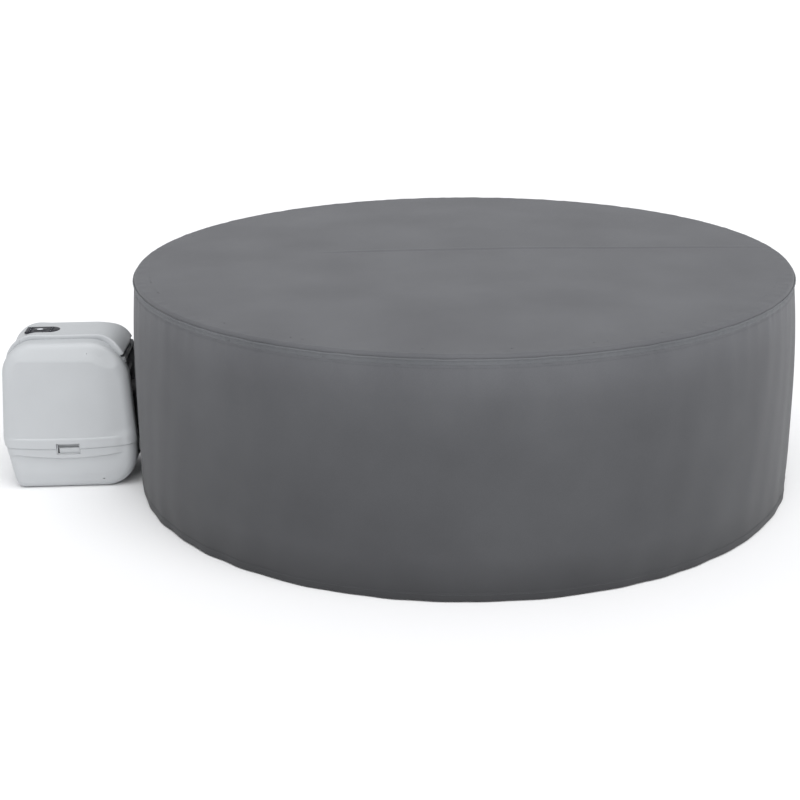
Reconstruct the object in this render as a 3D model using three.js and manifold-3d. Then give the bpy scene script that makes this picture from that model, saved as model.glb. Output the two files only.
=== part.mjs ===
// Inflatable hot tub with its fitted outdoor cover and free-standing pump unit.
//
// Millimetres, +Z up. The origin is the centre of the tub's underside, on the ground. The pump unit stands
// on the -X side, joined to the tub by two water couplings and one air coupling.
//
// The tub is an air ring of welded PVC sheet: outer wall, rim band, inner wall and floor, held in shape by
// radial webs. A lid with an air core buckles to it. A sewn cover drops over the lot, with an arch cut in
// its skirt where the couplings pass. The pump unit is a moulded case around a water pump, a heater, an air
// blower and a circuit board.

import * as THREE from 'three';
import { mergeVertices } from 'three/addons/utils/BufferGeometryUtils.js';
import Module from 'manifold-3d';

const wasm = await Module();
wasm.setup();

// ---------------------------------------------------------------- driving dimensions

const gap = 0.4; // between pieces that touch
const sheet = 2; // PVC sheet of the tub
const ringSegments = 40; // sides of every large ring
const pipeSegments = 16;

const tub = {
  outerRadius: 975, // at the fullest part of the wall
  wallWidth: 230, // from the fullest part of the wall to the bath
  height: 640, // to the wall's shoulder
  shoulder: 40, // radius of the wall's top corners
  footRadius: 34, // radius of the wall's bottom corners
  lean: 12, // how far the wall draws in from its fullest part to its ends
  crown: 6, // rise of the rim band
  floor: 4,
  webs: 24,
};

const lid = {
  clearance: 3, // over the rim band
  looseness: 6, // of the valance around the wall's shoulder
  sheet: 3,
  valance: 62, // depth of the skirt that hangs over the rim
  coreThickness: 84,
  coreClearance: 12, // to the bath's wall
  buckles: 4,
};

const cover = {
  cloth: 2.5,
  clearance: 26, // to the fullest part of the wall
  rimClearance: 10, // to the lid's valance
  overLid: 4,
  crown: 12,
  cornerDrop: 22, // from the top panel to the seam
  seamHeight: 20,
  groundGap: 3,
  archHalfWidth: 120,
  archHeight: 400,
};

const waterLine = { spread: 42, height: 105, bore: 16 };
const airLine = { bore: 11 };
const line = { wall: 3, collar: 5, nut: 7, flange: 13, nutLength: 38, nutLip: 8, collarLength: 4 };
const pipeReach = 46; // from the fullest part of the tub's wall to the joint with the pump

const pump = {
  halfWidth: 140,
  front: 190, // from the centre to the fullest part of the front
  rear: 208,
  stripRise: 18, // of the top strip over the side shells
  headroom: 128, // from the blower's motor to the top strip
  partingHeight: 131,
  wall: 3,
  edgeRound: 30,
  frontRound: 66, // radius of the top corner in front
  rearRound: 120, // radius of the side shells' top corner at the rear
  stripHalfWidth: 72,
  stripDepth: 25,
  rearPastJoint: 13,
  wellDepth: 58, // of the recess around the couplings
  wellHalfWidth: 88,
  wellBottom: 58,
  wellDrop: 71, // from the side shells' top to the recess
  gripDepth: 100, // of the grip pocket under the strip's lip
  gripHalfWidth: 50,
  gripDrop: 64, // from the strip's top to the pocket
  gripHeight: 72,
};

const volute = { depth: 54, radius: 50, wall: 3, neck: 23 };
const hose = { radius: 14, bore: 11, rise: 36 };
const blower = {
  radius: 56,
  height: 56,
  wall: 3,
  intake: 24, // radius of the air intake under the fan
  shaft: 5,
  motor: 27, // radius of the motor above
  motorHeight: 43,
  clearance: 19, // over the transfer hose
};

// What follows from these: pipe and nut sizes, the stack of parts in the pump case, and the case's height.
tub.innerRadius = tub.outerRadius - tub.wallWidth;
for (const pipe of [waterLine, airLine]) {
  pipe.outer = pipe.bore + line.wall;
  pipe.collar = pipe.outer + line.collar;
  pipe.nut = pipe.collar + line.nut;
  pipe.flange = pipe.outer + line.flange;
}
const jointX = -tub.outerRadius - pipeReach; // plane where the pump's ports meet the tub's pipes
pump.centreX = jointX - pump.rear + pump.rearPastJoint;
volute.outletTop = waterLine.height + volute.radius + volute.neck;
hose.crest = volute.outletTop + hose.rise;
blower.bottom = hose.crest + hose.radius + blower.clearance;
blower.top = blower.bottom + blower.height;
blower.motorTop = blower.top + blower.motorHeight;
airLine.height = blower.bottom + blower.height / 2;
pump.stripTop = blower.motorTop + pump.headroom;
pump.shellTop = pump.stripTop - pump.stripRise;
pump.wellTop = pump.shellTop - pump.wellDrop;
pump.gripTop = pump.stripTop - pump.gripDrop;
pump.gripBottom = pump.gripTop - pump.gripHeight;
pump.wellX = pump.rear - pump.wellDepth;
pump.gripX = pump.rear - pump.gripDepth;
pump.stripFront = 65 - pump.front; // where the top strip meets the front cowl

// ---------------------------------------------------------------- materials

const paint = (color, roughness, metalness = 0) =>
  new THREE.MeshStandardMaterial({ color, roughness, metalness });
const coverCloth = paint(0x6b6d71, 0.85);
const tubSheet = paint(0x54575c, 0.55);
const bathSheet = paint(0xb9bec4, 0.45);
const lidSheet = paint(0x3c3f44, 0.6);
const caseShell = paint(0xcdd1d5, 0.35);
const darkPlastic = paint(0x2a2c2f, 0.5);
const glossBlack = paint(0x0d0e12, 0.12);
const palePlastic = paint(0xe2e4e6, 0.4);
const steel = paint(0xb8bcc0, 0.3, 1);
const rubber = paint(0x1b1c1e, 0.8);
const filterPaper = paint(0xe9ecee, 0.9);
const boardGreen = paint(0x1f5a3a, 0.5);

// ---------------------------------------------------------------- solids

// A closed three.js geometry as a solid, without the triangles that collapse when vertices merge.
function solidOf(geometry) {
  const bare = geometry.index ? geometry.toNonIndexed() : geometry.clone();
  for (const name of Object.keys(bare.attributes)) {
    if (name !== 'position') bare.deleteAttribute(name);
  }
  const merged = mergeVertices(bare, 1e-3);
  const source = merged.index.array;
  const kept = [];
  for (let i = 0; i < source.length; i += 3) {
    const [a, b, c] = source.slice(i, i + 3);
    if (a !== b && b !== c && c !== a) kept.push(a, b, c);
  }
  const mesh = new wasm.Mesh({
    numProp: 3,
    vertProperties: merged.attributes.position.array,
    triVerts: new Uint32Array(kept),
  });
  return new wasm.Manifold(mesh);
}

function geometryOf(solid) {
  const mesh = solid.getMesh();
  const geometry = new THREE.BufferGeometry();
  geometry.setAttribute('position', new THREE.BufferAttribute(mesh.vertProperties, 3));
  geometry.setIndex(new THREE.BufferAttribute(mesh.triVerts, 1));
  return geometry;
}

const cut = (body, ...tools) =>
  geometryOf(tools.reduce((left, tool) => left.subtract(solidOf(tool)), solidOf(body)));
const join = (body, ...others) =>
  geometryOf(others.reduce((whole, other) => whole.add(solidOf(other)), solidOf(body)));
const common = (body, ...others) =>
  geometryOf(others.reduce((left, other) => left.intersect(solidOf(other)), solidOf(body)));

const box = (x0, x1, y0, y1, z0, z1) =>
  new THREE.BoxGeometry(x1 - x0, y1 - y0, z1 - z0)
    .translate((x0 + x1) / 2, (y0 + y1) / 2, (z0 + z1) / 2);

// A profile of [radius, height] points turned about Z. It starts and ends on the axis, or closes on itself.
function turned(profile, segments = ringSegments) {
  const points = profile.map(([r, z]) => new THREE.Vector2(r, z));
  if (THREE.ShapeUtils.area(points) < 0) points.reverse();
  const onAxis = points[0].x === 0 && points.at(-1).x === 0;
  if (!onAxis) points.push(points[0].clone());
  return new THREE.LatheGeometry(points, segments).rotateX(Math.PI / 2);
}

// The same about an axis along X, from [x, radius] points.
const turnedX = (profile, segments = pipeSegments) =>
  turned(profile.map(([x, r]) => [r, x]), segments).rotateY(Math.PI / 2);

const rodX = (radius, x0, x1, y = 0, z = 0, segments = pipeSegments) =>
  turnedX([[x0, 0], [x0, radius], [x1, radius], [x1, 0]], segments).translate(0, y, z);
const rodZ = (radius, z0, z1, x = 0, y = 0, segments = pipeSegments) =>
  turned([[0, z0], [radius, z0], [radius, z1], [0, z1]], segments).translate(x, y, 0);

// A hollow tube along a curve.
function tubeAlong(points, radius, bore, steps) {
  const section = new THREE.Shape().absarc(0, 0, radius, 0, Math.PI * 2);
  section.holes.push(new THREE.Path().absarc(0, 0, bore, 0, Math.PI * 2, true));
  const path = new THREE.CatmullRomCurve3(points.map((p) => new THREE.Vector3(...p)), false, 'centripetal');
  return new THREE.ExtrudeGeometry(section, { steps, extrudePath: path, curveSegments: 4 });
}

// A convex outline of [x, y, radius] corners, counter-clockwise, moved inwards by inset and rounded.
function roundedShape(corners, inset = 0) {
  const count = corners.length;
  const at = (i) => new THREE.Vector2(...corners[(i + count) % count]);
  const inward = (i) => {
    const edge = at(i + 1).sub(at(i)).normalize();
    return new THREE.Vector2(-edge.y, edge.x);
  };
  const moved = corners.map((_, i) => {
    const before = inward(i - 1);
    const after = inward(i);
    const reach = inset / (1 + before.dot(after));
    return at(i).addScaledVector(before, reach).addScaledVector(after, reach);
  });
  const shape = new THREE.Shape();
  moved.forEach((corner, i) => {
    const radius = Math.max(corners[i][2] - inset, 1);
    const back = moved[(i + count - 1) % count].clone().sub(corner).normalize();
    const ahead = moved[(i + 1) % count].clone().sub(corner).normalize();
    const half = back.angleTo(ahead) / 2;
    const middle = back.clone().add(ahead).normalize();
    const centre = corner.clone().addScaledVector(middle, radius / Math.sin(half));
    const start = corner.clone().addScaledVector(back, radius / Math.tan(half)).sub(centre);
    const end = corner.clone().addScaledVector(ahead, radius / Math.tan(half)).sub(centre);
    shape.absarc(centre.x, centre.y, radius, start.angle(), end.angle(), false);
  });
  return shape;
}

const object = new THREE.Group();
const pumpUnit = new THREE.Group();
pumpUnit.position.set(pump.centreX, 0, 0);
object.add(pumpUnit);

function place(name, geometry, material, parent = object) {
  const facets = geometryOf(solidOf(geometry)).toNonIndexed();
  facets.computeVertexNormals();
  const mesh = new THREE.Mesh(facets, material);
  mesh.name = name;
  parent.add(mesh);
  return mesh;
}

// A piece on the round wall: it is built at azimuth 0, with +X pointing out, and turned about Z.
const turnedTo = (geometry, degrees) => geometry.clone().rotateZ(THREE.MathUtils.degToRad(degrees));

// ---------------------------------------------------------------- tub

// Outside radius of the outer wall at a height: full at mid height, drawn in at both ends.
function wallRadius(z) {
  const share = (2 * z) / tub.height - 1;
  return tub.outerRadius - tub.lean * share * share;
}

// Points of a quarter turn around a rounded corner of the wall.
function cornerArc(centreR, centreZ, radius, from, to, steps = 2) {
  return Array.from({ length: steps + 1 }, (_, i) => {
    const angle = THREE.MathUtils.degToRad(from + ((to - from) * i) / steps);
    return [centreR + radius * Math.cos(angle), centreZ + radius * Math.sin(angle)];
  });
}

const wallBottom = tub.floor + gap;
const rimOuter = wallRadius(tub.height) - tub.shoulder;
const rimInner = tub.innerRadius + tub.shoulder;
const wallHoles = [];
const bathHoles = [];

function outerWallProfile(inset) {
  const foot = wallRadius(0) - tub.footRadius;
  const shoulderRadius = tub.shoulder - inset;
  return [
    ...cornerArc(foot, wallBottom + tub.footRadius, tub.footRadius - inset, -90, 0),
    [wallRadius(tub.height * 0.3) - inset, tub.height * 0.3],
    [wallRadius(tub.height * 0.5) - inset, tub.height * 0.5],
    [wallRadius(tub.height * 0.7) - inset, tub.height * 0.7],
    ...cornerArc(rimOuter, tub.height - tub.shoulder, shoulderRadius, 0, 90),
  ];
}

function innerWallProfile(inset) {
  const radius = tub.shoulder - inset;
  return [
    [tub.innerRadius + inset, wallBottom],
    ...cornerArc(rimInner, tub.height - tub.shoulder, radius, 180, 90),
  ];
}

for (const [pipe, y] of [[waterLine, waterLine.spread], [waterLine, -waterLine.spread], [airLine, 0]]) {
  wallHoles.push(rodX(pipe.outer + 1, -tub.outerRadius - 20, -tub.innerRadius - 60, y, pipe.height));
}
for (const y of [waterLine.spread, -waterLine.spread]) {
  const bathWall = -tub.innerRadius;
  bathHoles.push(rodX(waterLine.outer + 1, bathWall - 20, bathWall + 20, y, waterLine.height));
}

const airFeed = { radius: 12, bore: 9, height: 25 }; // where the air line feeds the bubble channel
bathHoles.push(rodX(airFeed.radius + 1, -tub.innerRadius - 20, -tub.innerRadius + 20, 0, airFeed.height));

const valve = { radius: 22, capRadius: 20, capThickness: 9, flange: 27, bore: 14, knurls: 9 };
const airValveAt = { azimuth: 153, height: 330 };
const drainValveAt = { azimuth: 135, height: 70 };
for (const spot of [airValveAt, drainValveAt]) {
  const reach = wallRadius(spot.height);
  const hole = rodX(valve.radius + 1, reach - 20, reach + 20, 0, spot.height);
  wallHoles.push(turnedTo(hole, spot.azimuth));
}

// Where a flat back that reaches y to one side clears the faceted bath wall at the -X end.
const bathFace = (y) => gap - Math.sqrt((tub.innerRadius * Math.cos(Math.PI / ringSegments)) ** 2 - y * y);

const closedBand = (outline, inset) => turned([...outline(0), ...outline(inset).reverse()]);
place('outer_wall', cut(closedBand(outerWallProfile, sheet), ...wallHoles), tubSheet);
place('inner_wall', cut(closedBand(innerWallProfile, sheet), ...bathHoles), bathSheet);

const rimTop = tub.height + tub.crown;
const rimSteps = 4;
const rimLine = (drop) =>
  Array.from({ length: rimSteps + 1 }, (_, i) => {
    const share = i / rimSteps;
    const r = rimOuter - gap + (rimInner - rimOuter + 2 * gap) * share;
    return [r, tub.height - drop + tub.crown * 4 * share * (1 - share)];
  });
place('rim_band', turned([...rimLine(0), ...rimLine(sheet).reverse()]), tubSheet);

const floorRadius = wallRadius(0) - tub.footRadius + 10;
place('floor_sheet', turned([[0, 0], [floorRadius, 0], [floorRadius, tub.floor], [0, tub.floor]]), bathSheet);

// Radial webs that hold the two walls together, on the strip that is welded along the floor.
const webInner = tub.innerRadius + 25;
const webOuter = rimOuter;
const webBottom = wallBottom + 4;
const webTop = tub.height - tub.shoulder;
const webStrip = turned([
  [webInner, webBottom], [webOuter, webBottom], [webOuter, webBottom + sheet], [webInner, webBottom + sheet],
]);
const web = box(webInner + 5, webOuter - 5, -sheet / 2, sheet / 2, webBottom, webTop);
const webs = Array.from({ length: tub.webs }, (_, i) => turnedTo(web, (360 * (i + 0.5)) / tub.webs));
place('wall_webs', join(webStrip, ...webs), tubSheet);

// The air channel runs round the foot of the bath's wall.
const channel = { width: 40, height: 36, wall: 2.5, slope: 17 };
const channelOuter = tub.innerRadius - 1;
const channelInner = channelOuter - channel.width;
place('bubble_channel', turned([
  [channelOuter, wallBottom + channel.height],
  [channelInner + channel.slope, wallBottom + channel.height],
  [channelInner, wallBottom + channel.height - channel.slope],
  [channelInner, wallBottom],
  [channelInner + channel.wall, wallBottom],
  [channelInner + channel.wall, wallBottom + channel.height - channel.slope - 1],
  [channelInner + channel.slope + 1, wallBottom + channel.height - channel.wall],
  [channelOuter, wallBottom + channel.height - channel.wall],
]), bathSheet);

// ---------------------------------------------------------------- pipes, couplings and filter

const flangeX = -tub.outerRadius - 4;
const flangeThickness = 2.5;
const collarEnd = jointX + gap + line.collarLength;

// A pipe through the wall: collar at the joint, flange outside the wall, plain inside.
function wallPipe(pipe, y, innerEnd) {
  return turnedX([
    [jointX + gap, pipe.bore], [jointX + gap, pipe.collar], [collarEnd, pipe.collar], [collarEnd, pipe.outer],
    [flangeX, pipe.outer], [flangeX, pipe.flange], [flangeX + flangeThickness, pipe.flange],
    [flangeX + flangeThickness, pipe.outer], [innerEnd, pipe.outer], [innerEnd, pipe.bore],
  ]).translate(0, y, pipe.height);
}

const nozzle = { radius: 27, depth: 12, lip: 5 };
const nozzleX = bathFace(waterLine.spread + nozzle.radius);
const filter = { clearance: 7, wall: 3, length: 96, cartridgeGap: 4, core: 20, cap: 5, capRim: 16, boss: 12 };
filter.radius = 2 * waterLine.spread - nozzle.radius - filter.clearance; // leaves room for the nozzle
filter.cartridge = filter.radius - filter.wall - filter.cartridgeGap;
const filterX = bathFace(waterLine.spread + filter.radius);
place('suction_pipe', wallPipe(waterLine, waterLine.spread, filterX + filter.wall), palePlastic);
place('return_pipe', wallPipe(waterLine, -waterLine.spread, nozzleX + 6), palePlastic);

// The air line turns down inside the wall and feeds the bubble channel.
const airBendX = -tub.outerRadius + 90;
const airStart = airBendX - 20;
const airBend = tubeAlong([
  [airStart, 0, airLine.height], [airBendX, 0, airLine.height], [airBendX + 26, 0, airLine.height - 30],
  [airBendX + 26, 0, airFeed.height + 50], [airBendX + 36, 0, airFeed.height + 16],
  [airBendX + 66, 0, airFeed.height], [-tub.innerRadius + 4, 0, airFeed.height],
], airFeed.radius, airFeed.bore, 14);
place('air_pipe', join(wallPipe(airLine, 0, airStart + 6), airBend), palePlastic);

// A ring nut with grip lobes. Its lip bears on the pipe's collar, and its thread takes the pump's port.
function couplingNut(pipe, y) {
  const lobes = 8;
  const lobeHeight = 1.5;
  const outline = new THREE.Shape(Array.from({ length: lobes * 4 }, (_, i) => {
    const angle = (Math.PI * 2 * i) / (lobes * 4);
    const radius = pipe.nut + lobeHeight * Math.cos(angle * lobes);
    return new THREE.Vector2(radius * Math.cos(angle), radius * Math.sin(angle));
  }));
  const lipX = collarEnd + 1;
  const start = lipX + line.nutLip - line.nutLength;
  const body = new THREE.ExtrudeGeometry(outline, { depth: line.nutLength, bevelEnabled: false })
    .rotateY(Math.PI / 2).translate(start, 0, 0);
  const bore = rodX(pipe.collar + 1, start - 5, lipX);
  const lip = rodX(pipe.outer + 1, lipX - 1, lipX + line.nutLip + 5);
  return cut(body, bore, lip).translate(0, y, pipe.height);
}
place('suction_nut', couplingNut(waterLine, waterLine.spread), darkPlastic);
place('return_nut', couplingNut(waterLine, -waterLine.spread), darkPlastic);
place('air_nut', couplingNut(airLine, 0), darkPlastic);

// The filter sits in the bath on the suction pipe. Its cap lifts the cartridge out with it.
const filterMouth = filterX + filter.wall + filter.length;
const onSuction = (geometry) => geometry.translate(0, waterLine.spread, waterLine.height);
place('filter_housing', onSuction(turnedX([
  [filterX, waterLine.outer + 1], [filterX, filter.radius], [filterMouth, filter.radius],
  [filterMouth, filter.radius - filter.wall], [filterX + filter.wall, filter.radius - filter.wall],
  [filterX + filter.wall, waterLine.outer + 1],
])), palePlastic);
const cartridgeX = filterX + filter.wall + 1.5;
place('filter_cartridge', onSuction(turnedX([
  [cartridgeX, filter.core], [cartridgeX, filter.cartridge],
  [filterMouth - gap, filter.cartridge], [filterMouth - gap, filter.core],
])), filterPaper);
const capSlots = [0, 45, 90, 135].map((angle) =>
  box(filterMouth - 5, filterMouth + 20, filter.capRim - filter.radius, filter.radius - filter.capRim, -3, 3)
    .rotateX(THREE.MathUtils.degToRad(angle)));
const capPlate = rodX(filter.radius, filterMouth + gap, filterMouth + gap + filter.cap);
const capBoss = rodX(filter.boss, filterMouth + gap, filterMouth + gap + filter.cap + 4);
place('filter_cap', onSuction(join(cut(capPlate, ...capSlots), capBoss)), palePlastic);

place('return_nozzle', turnedX([
  [nozzleX, waterLine.outer + 1], [nozzleX, nozzle.radius],
  [nozzleX + nozzle.depth - nozzle.lip, nozzle.radius], [nozzleX + nozzle.depth, waterLine.outer],
  [nozzleX + nozzle.depth, 9], [nozzleX + nozzle.depth - nozzle.lip, 11],
  [nozzleX + nozzle.depth - nozzle.lip, waterLine.outer + 1],
]).translate(0, -waterLine.spread, waterLine.height), palePlastic);

// ---------------------------------------------------------------- valves

// A screw valve through the wall, and the cap that closes it.
function wallValve(spot, name) {
  const reach = Math.max(wallRadius(spot.height - valve.flange), wallRadius(spot.height + valve.flange));
  const body = turnedX([
    [reach - 16, valve.bore], [reach - 16, valve.radius], [reach + 1, valve.radius],
    [reach + 1, valve.flange], [reach + 3, valve.flange], [reach + 3, valve.bore],
  ]);
  const capX = reach + 3 + gap;
  const knurl = rodX(1.6, capX + 2, capX + valve.capThickness + 1, valve.capRadius, 0, 6);
  const knurls = Array.from({ length: valve.knurls }, (_, i) =>
    knurl.clone().rotateX((Math.PI * 2 * i) / valve.knurls));
  const cap = cut(rodX(valve.capRadius, capX, capX + valve.capThickness), ...knurls);
  const stem = rodX(valve.bore - 1, capX - 12, capX + 1);
  place(name, turnedTo(body.translate(0, 0, spot.height), spot.azimuth), palePlastic);
  place(name + '_cap', turnedTo(join(cap, stem).translate(0, 0, spot.height), spot.azimuth), darkPlastic);
}
wallValve(airValveAt, 'air_valve');
wallValve(drainValveAt, 'drain_valve');

// ---------------------------------------------------------------- lid

const lidBottom = rimTop + lid.clearance;
const lidTop = lidBottom + lid.sheet;
const valanceInner = wallRadius(tub.height - lid.valance) + lid.looseness;
const valanceOuter = valanceInner + lid.sheet;
place('lid_top', turned([
  [0, lidBottom], [valanceOuter, lidBottom], [valanceOuter, lidTop], [0, lidTop],
]), lidSheet);
place('lid_valance', turned([
  [valanceInner, lidBottom - gap], [valanceInner, lidBottom - lid.valance],
  [valanceOuter, lidBottom - lid.valance], [valanceOuter, lidBottom - gap],
]), lidSheet);

// The air core: a flat bladder with its filling hole in the top.
const coreRadius = tub.innerRadius - lid.coreClearance;
const coreTop = lidBottom - gap - 1;
const coreBottom = coreTop - lid.coreThickness;
const coreHole = 12;
const coreEdge = 16;
place('lid_air_core', turned([
  [0, coreBottom], [coreRadius - coreEdge, coreBottom], [coreRadius, coreBottom + coreEdge],
  [coreRadius, coreTop - coreEdge], [coreRadius - coreEdge, coreTop], [coreHole, coreTop],
  [coreHole, coreTop - sheet], [coreRadius - coreEdge - 1, coreTop - sheet],
  [coreRadius - sheet, coreTop - coreEdge - 1], [coreRadius - sheet, coreBottom + coreEdge + 1],
  [coreRadius - coreEdge - 1, coreBottom + sheet], [0, coreBottom + sheet],
]), bathSheet);

// Each buckle's strap hangs from the valance, and its tongue sits in a socket on the wall.
const buckle = {
  strapWidth: 38,
  strap: 2.5,
  tongueWidth: 24,
  tongue: 6,
  tongueTop: lidBottom - 129,
  tongueEnd: lidBottom - 161,
  socketWidth: 44,
  socketTop: lidBottom - 137,
  socketEnd: lidBottom - 179,
  socketDepth: 13,
  pocketWall: 3,
};
const strapR = valanceOuter + gap;
for (let i = 0; i < lid.buckles; i++) {
  const azimuth = 45 + (360 * i) / lid.buckles;
  const strap = box(strapR, strapR + buckle.strap, -buckle.strapWidth / 2, buckle.strapWidth / 2,
    buckle.tongueTop, lidBottom - 14);
  const tongue = box(strapR, strapR + buckle.tongue, -buckle.tongueWidth / 2, buckle.tongueWidth / 2,
    buckle.tongueEnd, buckle.tongueTop + 8);
  place('lid_buckle_' + (i + 1), turnedTo(join(strap, tongue), azimuth), darkPlastic);
  const socketR = strapR - buckle.pocketWall;
  const socket = box(socketR, socketR + buckle.socketDepth, -buckle.socketWidth / 2, buckle.socketWidth / 2,
    buckle.socketEnd, buckle.socketTop);
  const pocket = box(strapR - 0.6, strapR + buckle.tongue + 0.6, -buckle.tongueWidth / 2 - 0.8,
    buckle.tongueWidth / 2 + 0.8, buckle.tongueEnd - 2, buckle.socketTop + 5);
  place('buckle_socket_' + (i + 1), turnedTo(cut(socket, pocket), azimuth), darkPlastic);
}

// ---------------------------------------------------------------- cover

const seamRadius = valanceOuter + cover.rimClearance; // outside of the top panel where it meets the seam
const panelRadius = seamRadius - 6;
const panelEdge = lidTop + cover.overLid + cover.cloth;
const seamZ = panelEdge - cover.cornerDrop;

// Outside of the top panel: a shallow crown, then a tight corner down to the seam.
function panelLine(inset) {
  const crownAt = (share) => panelEdge - inset + cover.crown * (1 - share * share);
  return [
    [0, crownAt(0)], [panelRadius * 0.45, crownAt(0.45)], [panelRadius * 0.8, crownAt(0.8)],
    [panelRadius - inset / 2, crownAt(1)], [seamRadius - inset, panelEdge - 7], [seamRadius - inset, seamZ],
  ];
}
place('cover_top', turned([...panelLine(0), ...panelLine(cover.cloth).reverse()]), coverCloth);

// Outside radius of the skirt: from the seam it fills out over the wall, then draws in to the hem.
const skirtFull = tub.outerRadius + cover.clearance + cover.cloth;
function skirtLine(inset) {
  const fill = (share) => seamRadius + (skirtFull - seamRadius) * share - inset;
  return [
    [fill(0), seamZ - gap], [fill(0.45), tub.height * 0.93], [fill(0.85), tub.height * 0.75],
    [fill(1), tub.height * 0.5], [fill(1), tub.height * 0.2], [fill(0.9), cover.groundGap],
  ];
}

// The arch in the skirt where the couplings pass: straight sides and a round top.
function archPrism(halfWidth, height, x0, x1) {
  const arch = new THREE.Shape();
  arch.moveTo(-halfWidth, -50);
  arch.lineTo(halfWidth, -50);
  arch.absarc(0, height - halfWidth, halfWidth, 0, Math.PI, false);
  const slab = new THREE.ExtrudeGeometry(arch, { depth: x1 - x0, bevelEnabled: false, curveSegments: 6 });
  return slab.rotateX(Math.PI / 2).rotateZ(Math.PI / 2).translate(x0, 0, 0);
}
const archCut = archPrism(cover.archHalfWidth, cover.archHeight, -skirtFull - 60, -tub.innerRadius);
place('cover_skirt', cut(closedBand(skirtLine, cover.cloth), archCut), coverCloth);
const bindingTop = seamZ + cover.seamHeight * 0.6;
const bindingBottom = seamZ - cover.seamHeight * 0.4;
const bindingInner = seamRadius + gap;
const bindingOuter = bindingInner + cover.cloth;
const bindingFlare = 2;
place('cover_seam', turned([
  [bindingInner, bindingTop], [bindingOuter, bindingTop],
  [bindingOuter + bindingFlare, bindingBottom], [bindingInner + bindingFlare, bindingBottom],
]), coverCloth);

// ---------------------------------------------------------------- pump case

// Side outline of the case, as seen from -Y: front at -X, rear towards the tub. The rear top corner is
// tighter on the strip than on the lower side shells, so the strip stands out further there.
const sideOutline = (top) => [
  [-pump.front + 28, 0, 34],
  [pump.rear - 2, 0, 100],
  [pump.rear + 2, pump.partingHeight, 220],
  [pump.rear - 16, top, pump.rearRound - top + pump.shellTop],
  [-pump.front + 19, top, pump.frontRound],
  [-pump.front - 4, pump.partingHeight + 20, 160],
];

// The case's outer form with rounded side edges, moved inwards by inset.
function caseForm(top, inset) {
  const round = pump.edgeRound - inset;
  const depth = 2 * (pump.halfWidth - inset - round);
  return new THREE.ExtrudeGeometry(roundedShape(sideOutline(top), inset), {
    depth, bevelThickness: round, bevelSize: round, bevelOffset: -round, bevelSegments: 3, curveSegments: 3,
  }).rotateX(Math.PI / 2).translate(0, depth / 2, 0);
}

// A plain slice of the outline along the middle of the case.
function middleForm(halfWidth, inset) {
  return new THREE.ExtrudeGeometry(roundedShape(sideOutline(pump.stripTop), inset), {
    depth: 2 * halfWidth, bevelEnabled: false, curveSegments: 3,
  }).rotateX(Math.PI / 2).translate(0, halfWidth, 0);
}

const far = 400; // past every side of the case
const { wall, stripHalfWidth, wellHalfWidth, gripHalfWidth } = pump;
const grown = (extra) => join(
  box(pump.wellX - extra, far, -wellHalfWidth - extra, wellHalfWidth + extra,
    pump.wellBottom - extra, pump.wellTop + extra),
  box(pump.gripX - extra, far, -gripHalfWidth - extra, gripHalfWidth + extra,
    pump.gripBottom - extra, pump.gripTop + extra),
);
const caseSkin = cut(caseForm(pump.shellTop, 0), caseForm(pump.shellTop, wall));
const trayClear = grown(wall + gap);

// The latch on each side sits in a tray that the base carries up past the parting line.
const latch = {
  centreX: 6,
  width: 70,
  bottom: 113,
  top: 147,
  depth: 14,
  tab: 5, // thickness of the tab
  tabHeight: 25,
  tabInset: 1.5, // from the case's side
  lift: 1, // from the tray's floor
};
const sideBox = (side, x0, x1, ya, yb, z0, z1) =>
  box(x0, x1, Math.min(side * ya, side * yb), Math.max(side * ya, side * yb), z0, z1);
function latchTray(side, extra) {
  const x0 = latch.centreX - latch.width / 2 - extra;
  const x1 = latch.centreX + latch.width / 2 + extra;
  const outside = pump.halfWidth + (extra > wall ? 20 : -gap);
  const back = pump.halfWidth - latch.depth - extra;
  return sideBox(side, x0, x1, back, outside, latch.bottom - extra, latch.top + extra);
}
function latchMouth(side) {
  const x0 = latch.centreX - latch.width / 2;
  const x1 = latch.centreX + latch.width / 2;
  const back = pump.halfWidth - latch.depth;
  return sideBox(side, x0, x1, back, pump.halfWidth + 20, latch.bottom, latch.top);
}
const trays = [-1, 1].map((side) => cut(latchTray(side, wall), latchMouth(side)));
const trayRoom = [-1, 1].map((side) => latchTray(side, wall + gap));

const gland = { x: 133 - pump.front, height: 60, radius: 9, bore: 4, flange: 14 };
const glandHole = rodX(gland.radius + 0.5, 0, 40)
  .rotateZ(Math.PI / 2)
  .translate(gland.x, pump.halfWidth - 20, gland.height);
const lowerHalf = box(-far, far, -far, far, -50, pump.partingHeight - gap / 2);
const baseSkin = cut(common(caseSkin, lowerHalf), trayClear, glandHole, latchMouth(-1), latchMouth(1));
place('pump_base', join(baseSkin, ...trays), caseShell, pumpUnit);

function sideShell(side) {
  const y0 = side * (stripHalfWidth + gap);
  const y1 = side * far;
  const region = box(-far, far, Math.min(y0, y1), Math.max(y0, y1), pump.partingHeight + gap / 2, far * 2);
  return cut(common(caseSkin, region), trayClear, ...trayRoom);
}
place('near_side_shell', sideShell(-1), caseShell, pumpUnit);
place('far_side_shell', sideShell(1), caseShell, pumpUnit);

// The front cowl and the top strip are one band down the middle, 18 mm prouder than the side shells.
const band = cut(
  cut(middleForm(stripHalfWidth, 0), middleForm(stripHalfWidth - wall, wall)),
  middleForm(far, pump.stripDepth),
);
const cowlRegion = box(-far, pump.stripFront - gap / 2, -far, far, pump.partingHeight + gap / 2, far * 2);
place('front_cowl', common(band, cowlRegion), caseShell, pumpUnit);

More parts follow.
